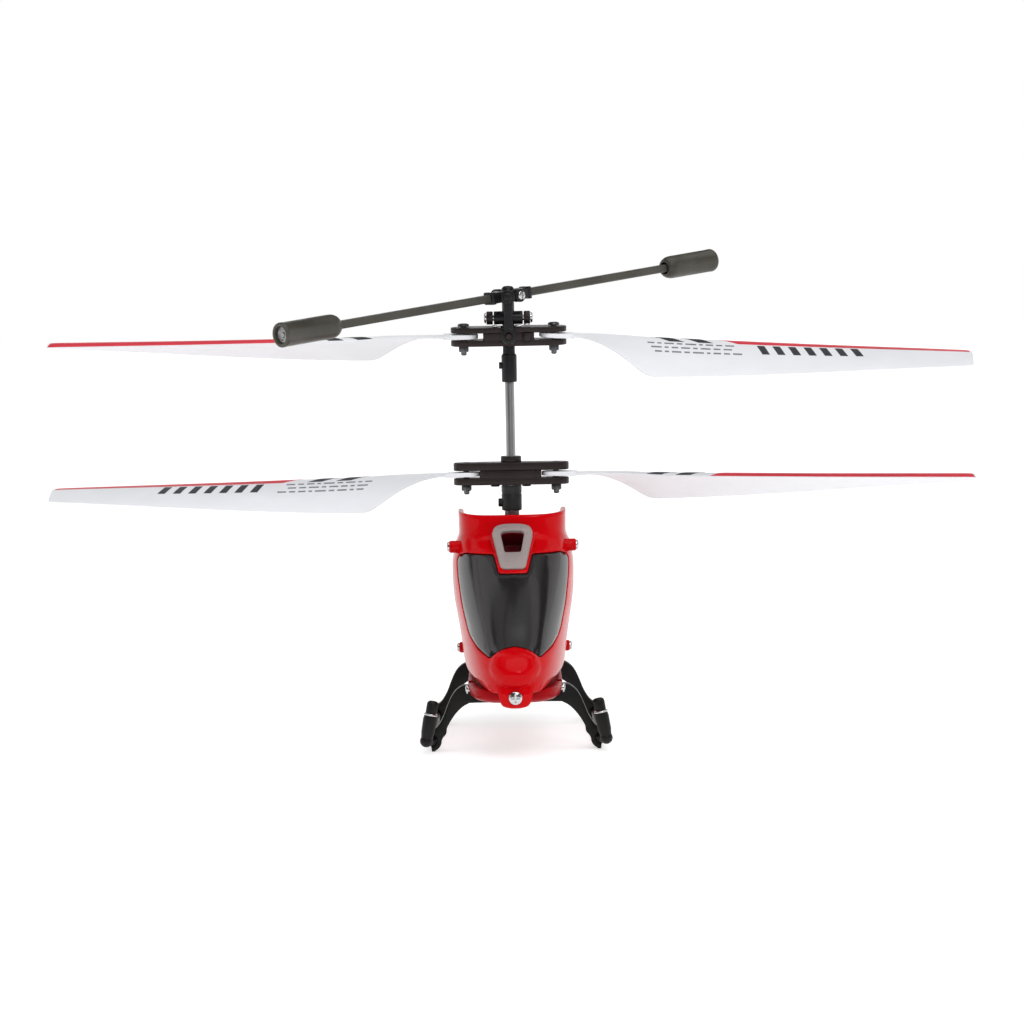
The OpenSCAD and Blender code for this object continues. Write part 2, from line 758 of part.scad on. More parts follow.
module mast_collar() {
    color([0.1, 0.1, 0.1]) difference() {
        union() {
            translate([0, 0, 45.4]) cylinder(h = 5.1, r = 2.05);
            block([-2.7, -1, 45.6], [-1, 1, 48.4]);
        }
        translate([0, 0, 40]) cylinder(h = 20, r = outer_r + press_gap);
        x_rod(-4, 0, 0, 47, 0.4);
    }
}

// ---- Rotor grips ----

// Plan of a grip plate: round ends over the blade bolts
module grip_plan(end_x) {
    hull() {
        for (s = [-1, 1]) translate([s * (end_x - 2.6), 0]) circle(r = 2.6, $fn = 48);
        square([9, 2 * grip_half_w], center = true);
    }
}

module bolt_holes(z0, h) {
    for (s = [-1, 1]) translate([s * bolt_x, 0, z0]) cylinder(h = h, r = bolt_hole_r);
}

module lower_grip_bottom() {
    color([0.2, 0.15, 0.15]) rotate(lower_azimuth) difference() {
        union() {
            translate([0, 0, 50.7]) linear_extrude(1.4) grip_plan(11.8);
            block([-5.2, -grip_half_w, 52], [5.2, grip_half_w, 53.6]);
            both_sides() translate([5.5, -2.2, 52]) cylinder(h = 1.6, r = 0.8);
            both_sides() translate([3.2, -1.6, 50.35]) cylinder(h = 0.4, r = 0.9);
        }
        translate([0, 0, 50]) cylinder(h = 6, r = outer_r + press_gap);
        bolt_holes(50, 4);
    }
}

module lower_grip_top() {
    color([0.2, 0.15, 0.15]) rotate(lower_azimuth) difference() {
        union() {
            translate([0, 0, 53.62]) linear_extrude(1.65) grip_plan(11.8);
            translate([0, 0, 55]) cylinder(h = 1.5, r = 2.1);
        }
        translate([0, 0, 53]) cylinder(h = 6, r = outer_r + press_gap);
        bolt_holes(53, 4);
        for (s = [-1, 1]) translate([s * bolt_x, 0, 54.8]) cylinder(h = 2, r = 1.35);
    }
}

// A grip bolt and its nut: plates from z_low to z_high
module grip_bolt(z_low, z_high) {
    translate([0, 0, z_low - 1.8]) cylinder(h = z_high - z_low + 2, r = bolt_r);
    translate([0, 0, z_low - 1.22]) cylinder(h = 1.2, r = 1.15, $fn = 6);
    difference() {
        translate([0, 0, z_high + 0.02]) cylinder(h = 0.5, r = 1.2);
        translate([-0.9, -0.13, z_high + 0.3]) cube([1.8, 0.26, 1]);
        translate([-0.13, -0.9, z_high + 0.3]) cube([0.26, 1.8, 1]);
    }
}

module lower_grip_bolts() {
    color("gray") rotate(lower_azimuth) for (s = [-1, 1]) translate([s * bolt_x, 0, 0]) grip_bolt(50.7, 54.8);
}

// Tilts the upper grip, and all that it carries, to its rest angle
module in_grip() {
    translate([0, 0, feather_z]) rotate([grip_tilt, 0, 0]) translate([0, 0, -feather_z]) children();
}

module post_slot(z0, h) {
    translate([-1.5, -2.15, z0]) cube([3, 4.3, h]);
}

module upper_grip_bottom() {
    color([0.2, 0.15, 0.15]) in_grip() difference() {
        union() {
            translate([0, 0, 79.1]) linear_extrude(1.2) grip_plan(11.8);
            block([-5.2, -grip_half_w, 80.2], [5.2, grip_half_w, 81.78]);
            for (s = [-1, 1])
                y_rod(min(s * 2.5, s * 5.9), max(s * 2.5, s * 5.9), 0, feather_z - stud_drop, stud_r);
            translate([3.7, -2.7, 80.2]) cylinder(h = 1.58, r = 0.9);
        }
        post_slot(78, 5);
        bolt_holes(78, 4);
    }
}

module upper_grip_top() {
    color([0.2, 0.15, 0.15]) in_grip() difference() {
        union() {
            translate([0, 0, 81.8]) linear_extrude(1.1) grip_plan(11.8);
            both_sides() block([3.1, -1.5, 82.5], [4.5, 1.5, feather_z]);
            both_sides() x_rod(3.1, 4.5, 0, feather_z, 1.5);
            translate([3.7, -2.7, 81.8]) cylinder(h = 1.6, r = 0.9);
        }
        post_slot(81, 3);
        bolt_holes(81, 4);
        both_sides() x_rod(2, 6, 0, feather_z, stud_r + run_gap);
        y_rod(-4, 4, 0, feather_z - stud_drop, stud_r + run_gap);
    }
}

module upper_grip_bolts() {
    color("gray") in_grip() for (s = [-1, 1]) translate([s * bolt_x, 0, 0]) grip_bolt(79.1, 82.9);
}

module rotor_head() {
    color([0.12, 0.12, 0.12]) difference() {
        union() {
            translate([0, 0, 71.6]) cylinder(h = 5.7, r = 1.6);
            translate([0, 0, 77]) cylinder(h = flybar_z - 77, r = post_r);
            translate([0, 0, flybar_z]) sphere(r = 1.5);
            translate([0, 0, flybar_z]) cylinder(h = 2, r = 0.9);
            x_rod(-2.9, 2.9, 0, feather_z, 1.35);
            x_rod(-2, 0, 0, 75, 0.7);
        }
        translate([0, 0, 70]) cylinder(h = inner_top_z - 69.98, r = inner_r + press_gap);
        both_sides() x_rod(1.6, 4, 0, feather_z, stud_r);
        in_flybar() for (s = [-1, 1]) teeter_rod(s, 0.9, 3, teeter_r + press_gap);
    }
}

// A teeter screw: it turns in the hub and is fixed in the post
module teeter_screw() {
    teeter_rod(1, 0.95, hub_boss_y + 0.05, teeter_r);
    difference() {
        teeter_rod(1, hub_boss_y + 0.05, hub_boss_y + 0.5, 0.95);
        block([-0.7, hub_boss_y + 0.3, -0.13], [0.7, hub_boss_y + 1, 0.13]);
        block([-0.13, hub_boss_y + 0.3, -0.7], [0.13, hub_boss_y + 1, 0.7]);
    }
}

module head_screws() {
    color("silver") {
        both_sides() {
            x_rod(1.65, 4.55, 0, feather_z, stud_r);
            difference() {
                x_rod(4.55, 5.05, 0, feather_z, 1.1);
                block([4.8, -0.15, feather_z - 0.8], [6, 0.15, feather_z + 0.8]);
            }
        }
        in_flybar() teeter_screw();
        in_flybar() mirror([0, 1, 0]) teeter_screw();
    }
}

// ---- Flybar ----

// Turns +X along the flybar and +Y along its teeter axis away from the near side, at the rest tilt
module in_flybar() {
    translate([0, 0, flybar_z]) rotate(flybar_azimuth) rotate([0, -flybar_tilt, 0]) children();
}

// A cylinder along the teeter axis, inside in_flybar()
module teeter_rod(s, a, b, r) {
    translate([0, s > 0 ? a : -b, 0]) rotate([-90, 0, 0]) cylinder(h = b - a, r = r);
}

// Plan of the hub: a ring round the post with an arm along the flybar each way
hub_plan = [[5.3, 1.35], [2.6, 1.35], [1.2, 3.1], [-1.2, 3.1], [-2.6, 1.35], [-5.3, 1.35],
    [-5.3, -1.35], [-2.6, -1.35], [-1.2, -3.1], [1.2, -3.1], [2.6, -1.35], [5.3, -1.35]];

module flybar_hub() {
    color([0.1, 0.1, 0.12]) difference() {
        union() {
            in_flybar() translate([0, 0, -1.1]) linear_extrude(2.2) polygon(hub_plan);
            in_flybar() for (s = [-1, 1]) teeter_rod(s, 2.2, hub_boss_y, 1.35);
            for (s = [-1, 1]) flybar_stud(s);
        }
        in_flybar() translate([0, 0, -4]) cylinder(h = 8, r = hub_hole_r);
        in_flybar() for (s = [-1, 1]) teeter_rod(s, 1, 5, teeter_r + run_gap);
        in_flybar() for (s = [-1, 1]) translate([s > 0 ? rod_in - 0.05 : -rod_in - 2.95, -0.9, -0.85])
            cube([3, 1.8, 1.7]);
    }
}

// The studs that drive the links: level at rest, on the Y axis
module flybar_stud(s) {
    z = flybar_z - stud_y * sin(flybar_azimuth) * sin(flybar_tilt) * -s;
    y_rod(min(s * 2.3, s * 5.9), max(s * 2.3, s * 5.9), 0, z, stud_r);
}

module flybar_rods() {
    color([0.3, 0.28, 0.25]) in_flybar() for (s = [-1, 1])
        translate([s > 0 ? rod_in : -rod_out, -0.85, -0.8]) cube([rod_out - rod_in, 1.7, 1.6]);
}

module flybar_weights() {
    color([0.3, 0.28, 0.25]) in_flybar() for (turn = [0, 180]) rotate(turn) rotate([0, 90, 0]) difference() {
        rotate_extrude() polygon([[0, weight_in - 0.4], [1.6, weight_in - 0.4], [2, weight_in],
            [weight_d / 2, weight_in + 1], [weight_d / 2, flybar_radius], [0, flybar_radius]]);
        translate([0, 0, weight_in - 2]) rotate(45) cylinder(h = 6.4, r = 1.28, $fn = 4);
        translate([0, 0, weight_in + 5]) cylinder(h = 12, r = 1.62);
    }
}

module flybar_slugs() {
    color("darkgray") in_flybar() for (turn = [0, 180]) rotate(turn) rotate([0, 90, 0])
        translate([0, 0, slug_in]) cylinder(h = slug_out - slug_in, r = 1.6);
}

// Heights of the link's ends at rest: the eye on the grip and the eye on the flybar
function link_low_z(s) = feather_z - stud_drop * cos(grip_tilt) + s * stud_y * sin(grip_tilt);
function link_high_z(s) = flybar_z + s * stud_y * sin(flybar_azimuth) * sin(flybar_tilt);

module link(s) {
    low = link_low_z(s);
    high = link_high_z(s);
    y0 = s * stud_y - 0.6;
    color([0.12, 0.11, 0.11]) difference() {
        union() {
            y_rod(y0, y0 + 1.2, 0, low, 1.5);
            y_rod(y0, y0 + 1.2, 0, high, 1.4);
            block([-1, y0, low], [1, y0 + 1.2, high]);
        }
        y_rod(y0 - 1, y0 + 3, 0, low, link_hole_r);
        y_rod(y0 - 1, y0 + 3, 0, high, link_hole_r);
    }
}

module link_front() link(-1);
module link_rear() link(1);

// ---- Blades ----

// Plan edges of a blade, as offsets from its radial line: the leading edge is positive
blade_stations = [12.4, 14, 17, 20.5, 24.5, 27, 29, 34, 42, 54, 68, 82, rotor_radius - 4, rotor_radius];
function leading(r) = lookup(r, [[12, 2.6], [14, 2.6], [29, 1.8], [rotor_radius - 2, 0], [rotor_radius, -1]]);
function trailing(r) = lookup(r, [[12, -3], [14, -3.2], [17, -5], [20.5, -8.8], [24.5, -13.5], [27, -16.2],
    [29, -16.9], [rotor_radius, -12.5]]);
function blade_pitch(r) = lookup(r, [[12, 0], [14, 1.5], [20, 10], [29, root_pitch], [rotor_radius, tip_pitch]]);

// Distance along the blade of a point at a share of the chord: the tip is cut on a slant
function station_r(i, share) =
    i == len(blade_stations) - 1 ? rotor_radius - share : blade_stations[i];

// The nose of the section turns down over the first part of the chord
function nose_drop(r) = lookup(r, [[14, 0], [22, 0.5], [32, 1.15], [60, 1], [rotor_radius, 0.75]]);
nose_share = 0.18;

// Height of the blade's mid surface: pitch about the radial line, a little camber and the turned-down nose
function blade_rise(r, y, share) =
    y * tan(blade_pitch(r)) + 0.12 * (leading(r) - trailing(r)) * share * (1 - share) * min(1, (r - 12) / 12)
    - nose_drop(r) * pow(max(0, 1 - share / nose_share), 2);

// Half of the blade's thickness at a share of the chord
function blade_half_t(r, share) =
    lookup(r, [[12, blade_t / 2], [29, 0.4], [rotor_radius, 0.25]])
    * (0.35 + 0.65 * sqrt(max(0, 4 * share * (1 - share))));

chord_shares = [0, 0.06, 0.18, 0.5, 0.85, 1];

// A blade along +X from its bolt, moving toward +Y: its own z = 0 is the middle of the root
module blade_body() {
    n = 2 * len(chord_shares);
    rings = len(blade_stations);
    last = len(chord_shares) - 1;
    points = [for (i = [0:rings - 1]) for (k = [0:n - 1])
        let (
            top = k <= last,
            share = chord_shares[top ? k : n - 1 - k],
            r = station_r(i, share),
            y = leading(r) + share * (trailing(r) - leading(r)),
            z = blade_rise(r, y, share) + (top ? 1 : -1) * blade_half_t(r, share)
        )
        [r, y, z]];
    difference() {
        union() {
            strip(points, n, rings);
            translate([bolt_x, 0, -blade_t / 2]) cylinder(h = blade_t, r = 3);
            translate([bolt_x, -3, -blade_t / 2]) cube([13 - bolt_x, 5.6, blade_t]);
        }
        translate([bolt_x, 0, -2]) cylinder(h = 4, r = blade_hole_r);
    }
}

// The blade turned down by its droop about its bolt
module drooped_blade(droop) {
    translate([bolt_x, 0, 0]) rotate([0, droop, 0]) translate([-bolt_x, 0, 0]) blade_body();
}

module upper_blade_right() {
    color("whitesmoke") in_grip() translate([0, 0, upper_blade_z]) drooped_blade(upper_right_droop);
}

module upper_blade_left() {
    color("whitesmoke") in_grip() translate([0, 0, upper_blade_z]) rotate(180) drooped_blade(0);
}

// The lower rotor turns the other way, so its blades are mirrored
module lower_blade(turn) {
    color("whitesmoke") translate([0, 0, lower_blade_z]) rotate(lower_azimuth + turn)
        mirror([0, 1, 0]) drooped_blade(lower_droop);
}

module lower_blade_right() lower_blade(0);
module lower_blade_left() lower_blade(180);

at_mast() canopy();
at_mast() windscreen();
at_mast() intake_bezel();
at_mast() belly_tray();
at_mast() canopy_screws();
at_mast() nose_screw();
at_mast() side_plate_left();
at_mast() side_plate_right();
at_mast() frame_screws();
at_mast() top_deck();
at_mast() motor_block();
at_mast() bottom_deck();
at_mast() shaft_bearings();
at_mast() motor_front();
at_mast() motor_rear();
at_mast() battery();
at_mast() receiver_board();
at_mast() board_chips();
at_mast() nose_led();
at_mast() charge_socket();
at_mast() switch_body();
at_mast() switch_knob();
at_mast() front_strut();
at_mast() rear_strut();
at_mast() runner_left();
at_mast() runner_right();
at_mast() toe_caps();
at_mast() boom_clamp();
at_mast() tail_boom();
at_mast() boom_struts();
at_mast() tail_stabiliser();
at_mast() tail_fin();
at_mast() tail_motor();
at_mast() tail_motor_housing();
at_mast() tail_rotor();
at_mast() outer_shaft();
at_mast() outer_gear();
at_mast() mast_collar();
at_mast() lower_grip_bottom();
at_mast() lower_grip_top();
at_mast() lower_grip_bolts();
at_mast() lower_blade_right();
at_mast() lower_blade_left();
at_mast() inner_shaft();
at_mast() inner_gear();
at_mast() rotor_head();
at_mast() head_screws();
at_mast() upper_grip_bottom();
at_mast() upper_grip_top();
at_mast() upper_grip_bolts();
at_mast() upper_blade_right();
at_mast() upper_blade_left();
at_mast() flybar_hub();
at_mast() flybar_rods();
at_mast() flybar_weights();
at_mast() flybar_slugs();
at_mast() link_front();
at_mast() link_rear();
at_mast() pinion_front();
at_mast() pinion_rear();
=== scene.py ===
"""A small remote control helicopter: smooth shells, materials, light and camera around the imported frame."""

import bisect
import json
import math

import bmesh
import bpy
from mathutils import Matrix, Quaternion, Vector
from mathutils.geometry import delaunay_2d_cdt
from mathutils.kdtree import KDTree


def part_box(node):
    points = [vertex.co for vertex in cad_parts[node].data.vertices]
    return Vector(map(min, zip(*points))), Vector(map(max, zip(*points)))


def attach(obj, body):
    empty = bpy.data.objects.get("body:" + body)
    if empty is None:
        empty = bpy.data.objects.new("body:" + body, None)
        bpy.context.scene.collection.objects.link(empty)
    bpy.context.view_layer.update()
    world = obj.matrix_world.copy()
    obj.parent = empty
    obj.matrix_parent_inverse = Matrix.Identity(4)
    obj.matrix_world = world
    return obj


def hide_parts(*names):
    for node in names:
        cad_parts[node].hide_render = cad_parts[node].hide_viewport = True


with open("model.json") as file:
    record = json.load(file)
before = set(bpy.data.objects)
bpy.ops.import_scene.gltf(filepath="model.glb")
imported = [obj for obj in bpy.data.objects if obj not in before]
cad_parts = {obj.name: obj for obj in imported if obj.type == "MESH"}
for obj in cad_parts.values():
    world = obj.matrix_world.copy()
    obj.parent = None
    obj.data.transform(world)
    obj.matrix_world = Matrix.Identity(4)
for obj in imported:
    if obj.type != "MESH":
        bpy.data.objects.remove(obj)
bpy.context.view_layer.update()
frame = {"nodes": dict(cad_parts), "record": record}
nodes = frame["nodes"]
record = frame["record"]

MM = 0.001

# The mast is the middle of the inner shaft: sizes below are millimetres from it, with the nose toward -Y
shaft_low, shaft_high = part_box("inner_shaft")
MAST_Y = (shaft_low.y + shaft_high.y) / 2


def at(x, y, z):
    """A place given in millimetres from the mast and the floor, in the row frame."""
    return Vector((x * MM, MAST_Y + y * MM, z * MM))


# ---- Materials ----


def add_node(tree, kind, **values):
    """A shader node with its named inputs set."""
    node = tree.nodes.new(kind)
    for name, value in values.items():
        node.inputs[name].default_value = value
    return node


def mottled(tree, low, high, scale, detail=4.0):
    """A noise that runs between two colours, as a colour output."""
    place = tree.nodes.new("ShaderNodeTexCoord")
    noise = add_node(tree, "ShaderNodeTexNoise", Scale=scale, Detail=detail)
    tree.links.new(place.outputs["Object"], noise.inputs["Vector"])
    ramp = tree.nodes.new("ShaderNodeValToRGB")
    ramp.color_ramp.elements[0].position = 0.3
    ramp.color_ramp.elements[1].position = 0.7
    ramp.color_ramp.elements[0].color = (*low, 1)
    ramp.color_ramp.elements[1].color = (*high, 1)
    tree.links.new(noise.outputs["Fac"], ramp.inputs["Fac"])
    return ramp.outputs["Color"]


def ranged(tree, scale, low, high, stretch=(1, 1, 1), detail=3.0):
    """A noise as a number between two values; stretch draws it out along an axis."""
    place = tree.nodes.new("ShaderNodeTexCoord")
    mapping = tree.nodes.new("ShaderNodeMapping")
    mapping.inputs["Scale"].default_value = stretch
    tree.links.new(place.outputs["Object"], mapping.inputs["Vector"])
    noise = add_node(tree, "ShaderNodeTexNoise", Scale=scale, Detail=detail)
    tree.links.new(mapping.outputs["Vector"], noise.inputs["Vector"])
    spread = add_node(tree, "ShaderNodeMapRange")
    spread.inputs["From Min"].default_value = 0.3
    spread.inputs["From Max"].default_value = 0.7
    spread.inputs["To Min"].default_value = low
    spread.inputs["To Max"].default_value = high
    tree.links.new(noise.outputs["Fac"], spread.inputs["Value"])
    return spread.outputs["Result"]


def finish_of(
    name,
    colour,
    vary=0.12,
    patch=140.0,
    rough=(0.3, 0.4),
    grain=3000.0,
    depth=0.02,
    stretch=(1, 1, 1),
    **sockets,
):
    """A moulded or turned finish: mottled colour, uneven gloss and a fine grain. sockets are the shader's own."""
    material = bpy.data.materials.new(name)
    material.use_nodes = True
    tree = material.node_tree
    shader = tree.nodes["Principled BSDF"]
    low = [c * (1 - vary) for c in colour]
    high = [min(1.0, c * (1 + vary)) for c in colour]
    tree.links.new(mottled(tree, low, high, patch), shader.inputs["Base Color"])
    tree.links.new(ranged(tree, patch * 3, *rough, stretch), shader.inputs["Roughness"])
    bump = add_node(tree, "ShaderNodeBump", Strength=0.6, Distance=depth * MM)
    tree.links.new(ranged(tree, grain, 0, 1, stretch), bump.inputs["Height"])
    tree.links.new(bump.outputs["Normal"], shader.inputs["Normal"])
    for socket, value in sockets.items():
        shader.inputs[socket.replace("_", " ")].default_value = value
    return material


def metal_of(name, colour, rough, stretch=(1, 1, 1), **options):
    """A bare or plated metal."""
    return finish_of(name, colour, vary=0.08, rough=rough, stretch=stretch, Metallic=1.0, **options)


FINISHES = {
    "red_gloss": finish_of(
        "red_gloss", (0.5, 0.0006, 0.003), vary=0.05, rough=(0.2, 0.24), depth=0.0008,
        Specular_IOR_Level=0.02, Coat_Weight=0.16, Coat_Roughness=0.03,
    ),
    "smoked_screen": finish_of(
        "smoked_screen", (0.012, 0.0105, 0.0105), rough=(0.12, 0.16), depth=0.001, Specular_IOR_Level=0.32,
        Coat_Weight=0.1, Coat_Roughness=0.1,
    ),
    "taupe_plastic": finish_of("taupe_plastic", (0.25, 0.2, 0.195), vary=0.06, rough=(0.25, 0.33), depth=0.01),
    "dark_red_plastic": finish_of(
        "dark_red_plastic", (0.3, 0.001, 0.004), vary=0.06, rough=(0.28, 0.38), depth=0.008, Specular_IOR_Level=0.06,
    ),
    "chrome_screw": metal_of("chrome_screw", (0.55, 0.55, 0.56), (0.14, 0.22), depth=0.006),
    "frame_plastic": finish_of("frame_plastic", (0.03, 0.03, 0.033), rough=(0.4, 0.52), depth=0.03),
    "brass_bush": metal_of("brass_bush", (0.72, 0.5, 0.22), (0.24, 0.36)),
    "brass_pinion": metal_of("brass_pinion", (0.78, 0.58, 0.28), (0.2, 0.32)),
    "motor_can": metal_of("motor_can", (0.62, 0.62, 0.64), (0.22, 0.36), (1, 1, 0.08)),
    "battery_foil": finish_of("battery_foil", (0.5, 0.52, 0.55), rough=(0.25, 0.4), grain=900.0, depth=0.06),
    "circuit_board": finish_of("circuit_board", (0.012, 0.14, 0.05), vary=0.3, patch=600.0, rough=(0.25, 0.4)),
    "chip_plastic": finish_of("chip_plastic", (0.02, 0.02, 0.02), rough=(0.45, 0.6), depth=0.02),
    "clear_lens": finish_of("clear_lens", (0.9, 0.93, 0.95), vary=0.03, rough=(0.03, 0.08), Transmission_Weight=0.85),
    "black_plastic": finish_of(
        "black_plastic", (0.012, 0.012, 0.013), rough=(0.34, 0.46), depth=0.02, Specular_IOR_Level=0.35
    ),
    "white_knob": finish_of("white_knob", (0.8, 0.8, 0.77), vary=0.04, rough=(0.4, 0.5)),
    "skid_plastic": finish_of(
        "skid_plastic", (0.006, 0.0058, 0.0054), rough=(0.36, 0.48), depth=0.02, Specular_IOR_Level=0.2
    ),
    "boom_aluminium": finish_of("boom_aluminium", (0.02, 0.02, 0.022), rough=(0.28, 0.4), Metallic=0.6),
    "carbon_rod": finish_of("carbon_rod", (0.022, 0.022, 0.024), rough=(0.3, 0.42), stretch=(1, 0.05, 1)),
    "shaft_steel": metal_of("shaft_steel", (0.34, 0.34, 0.35), (0.3, 0.42), (1, 1, 0.05)),
    "gear_nylon": finish_of("gear_nylon", (0.72, 0.7, 0.62), vary=0.05, rough=(0.36, 0.5)),
    "grip_plastic": finish_of(
        "grip_plastic", (0.018, 0.0115, 0.011), vary=0.25, rough=(0.3, 0.42), depth=0.02, Specular_IOR_Level=0.22
    ),
    "dark_bolt": metal_of("dark_bolt", (0.13, 0.13, 0.14), (0.3, 0.45)),
    "white_blade": finish_of("white_blade", (0.74, 0.75, 0.78), vary=0.02, rough=(0.34, 0.44), depth=0.01),
    "head_plastic": finish_of(
        "head_plastic", (0.009, 0.009, 0.0105), rough=(0.26, 0.38), depth=0.015, Specular_IOR_Level=0.25
    ),
    "smoky_plastic": finish_of(
        "smoky_plastic", (0.05, 0.046, 0.036), vary=0.22, rough=(0.3, 0.42), Specular_IOR_Level=0.35
    ),
    "slug_metal": metal_of("slug_metal", (0.3, 0.3, 0.3), (0.35, 0.5)),
}

for part in record["subparts"]:
    obj = nodes[part["node"]]
    obj.data.materials.clear()
    obj.data.materials.append(FINISHES[part["material_slot"]])

# ---- Mesh building ----

AIR = "airframe"


def smooth_curve(table):
    """A smooth function through a table of places and values, that never overshoots them."""
    xs = [row[0] for row in table]
    ys = [row[1] for row in table]
    slopes = [(ys[i + 1] - ys[i]) / (xs[i + 1] - xs[i]) for i in range(len(xs) - 1)]
    grads = [slopes[0]]
    for before, after in zip(slopes, slopes[1:]):
        grads.append(0.0 if before * after <= 0 else 2 * before * after / (before + after))
    grads.append(slopes[-1])

    def value(x):
        x = min(max(x, xs[0]), xs[-1])
        i = min(bisect.bisect_right(xs, x), len(xs) - 1) - 1
        h = xs[i + 1] - xs[i]
        t = (x - xs[i]) / h
        return (
            ys[i] * (1 + 2 * t) * (1 - t) ** 2
            + ys[i + 1] * t * t * (3 - 2 * t)
            + h * grads[i] * t * (1 - t) ** 2
            - h * grads[i + 1] * t * t * (1 - t)
        )

    return value


def clamp(x, low=0.0, high=1.0):
    return min(max(x, low), high)


def ease(x):
    """0 to 1 with level ends."""
    x = clamp(x)
    return x * x * (3 - 2 * x)


def mirrored(half):
    """A closed outline from its right half."""
    return list(half) + [(-x, y) for x, y in reversed(half) if abs(x) > 1e-9]


def filleted(outline, radius, steps=5):
    """A closed outline with its corners rounded."""
    out = []
    count = len(outline)
    for i, corner in enumerate(outline):
        here = Vector(corner)
        back = Vector(outline[i - 1]) - here
        on = Vector(outline[(i + 1) % count]) - here
        reach = min(radius, 0.45 * back.length, 0.45 * on.length)
        start, end = here + back.normalized() * reach, here + on.normalized() * reach
        for k in range(steps + 1):
            t = k / steps
            out.append(tuple(start * (1 - t) ** 2 + here * 2 * t * (1 - t) + end * t * t))
    return out


def piece(name, points, faces, body, slot, stands_for=(), where=None, sharp=38, finish=None):
    """A closed mesh piece: its points are in millimetres from the mast, moved first by the matrix where."""
    if where is not None:
        points = [where @ Vector(p) for p in points]
    mesh = bpy.data.meshes.new(name)
    mesh.from_pydata([at(*p) for p in points], [], faces)
    work = bmesh.new()
    work.from_mesh(mesh)
    bmesh.ops.remove_doubles(work, verts=work.verts, dist=0.002 * MM)
    bmesh.ops.recalc_face_normals(work, faces=work.faces)
    work.to_mesh(mesh)
    work.free()
    mesh.shade_smooth()
    mesh.set_sharp_from_angle(angle=math.radians(sharp))
    obj = bpy.data.objects.new(name, mesh)
    bpy.context.scene.collection.objects.link(obj)
    mesh.materials.append(finish or FINISHES[slot])
    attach(obj, body)
    if stands_for:
        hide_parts(*stands_for)
    return obj


def joined(*parts):
    """Several point and face lists as one."""
    points, faces = [], []
    for part_points, part_faces in parts:
        base = len(points)
        points += [tuple(p) for p in part_points]
        faces += [[base + i for i in face] for face in part_faces]
    return points, faces


def moved(part, matrix):
    """A point and face list moved by a matrix."""
    return [tuple(matrix @ Vector(p)) for p in part[0]], part[1]


def standing(part, x, y=0.0):
    """A part moved to a place in plan."""
    return moved(part, Matrix.Translation((x, y, 0)))


def strip(rings, closed=False):
    """Faces between rings of points: each ring is a loop. The ends are capped unless the strip is closed."""
    n = len(rings[0])
    points = [p for ring in rings for p in ring]
    faces = []
    for r in range(len(rings) - (0 if closed else 1)):
        s = (r + 1) % len(rings)
        faces += [[r * n + i, r * n + (i + 1) % n, s * n + (i + 1) % n, s * n + i] for i in range(n)]
    if not closed:
        faces += [list(range(n))[::-1], [(len(rings) - 1) * n + i for i in range(n)]]
    return points, faces


def arc(radius, start, step, count, centre=(0, 0)):
    """Points along a circle, at angles in degrees from a start by a step."""
    angles = [math.radians(start + step * k) for k in range(count)]
    return [(centre[0] + radius * math.cos(a), centre[1] + radius * math.sin(a)) for a in angles]


def lathe(profile, steps=40, hollow=False):
    """A turned solid about Z. The profile is (radius, height) points; hollow closes it on itself round a bore."""
    rings = [
        [(r * math.cos(math.tau * k / steps), r * math.sin(math.tau * k / steps), h) for k in range(steps)]
        for r, h in profile
    ]
    return strip(rings, closed=hollow)


def along(axis, place=(0, 0, 0)):
    """The matrix that turns +Z to an axis and moves the origin to a place."""
    return Matrix.Translation(place) @ Vector(axis).to_track_quat("Z", "Y").to_matrix().to_4x4()


def slab(outline, low, high, edge=0.12, holes=()):
    """A flat plate between two heights, with rounded edges and holes, through Blender's own 2D curve."""
    curve = bpy.data.curves.new("slab", "CURVE")
    curve.dimensions = "2D"
    curve.fill_mode = "BOTH"
    for ring in (outline, *holes):
        spline = curve.splines.new("POLY")
        spline.points.add(len(ring) - 1)
        spline.use_cyclic_u = True
        for point, place in zip(spline.points, ring):
            point.co = (place[0], place[1], 0, 1)
    curve.extrude = (high - low) / 2 - edge
    curve.bevel_depth = edge
    curve.bevel_resolution = 2
    curve.offset = -edge
    holder = bpy.data.objects.new("slab", curve)
    bpy.context.scene.collection.objects.link(holder)
    mesh = bpy.data.meshes.new_from_object(holder)
    points = [(v.co.x, v.co.y, v.co.z + (low + high) / 2) for v in mesh.vertices]
    faces = [list(p.vertices) for p in mesh.polygons]
    bpy.data.objects.remove(holder)
    bpy.data.curves.remove(curve)
    bpy.data.meshes.remove(mesh)
    return points, faces


def circle(radius, place=(0, 0), steps=32):
    return [
        (place[0] + radius * math.cos(math.tau * k / steps), place[1] + radius * math.sin(math.tau * k / steps))
        for k in range(steps)
    ]


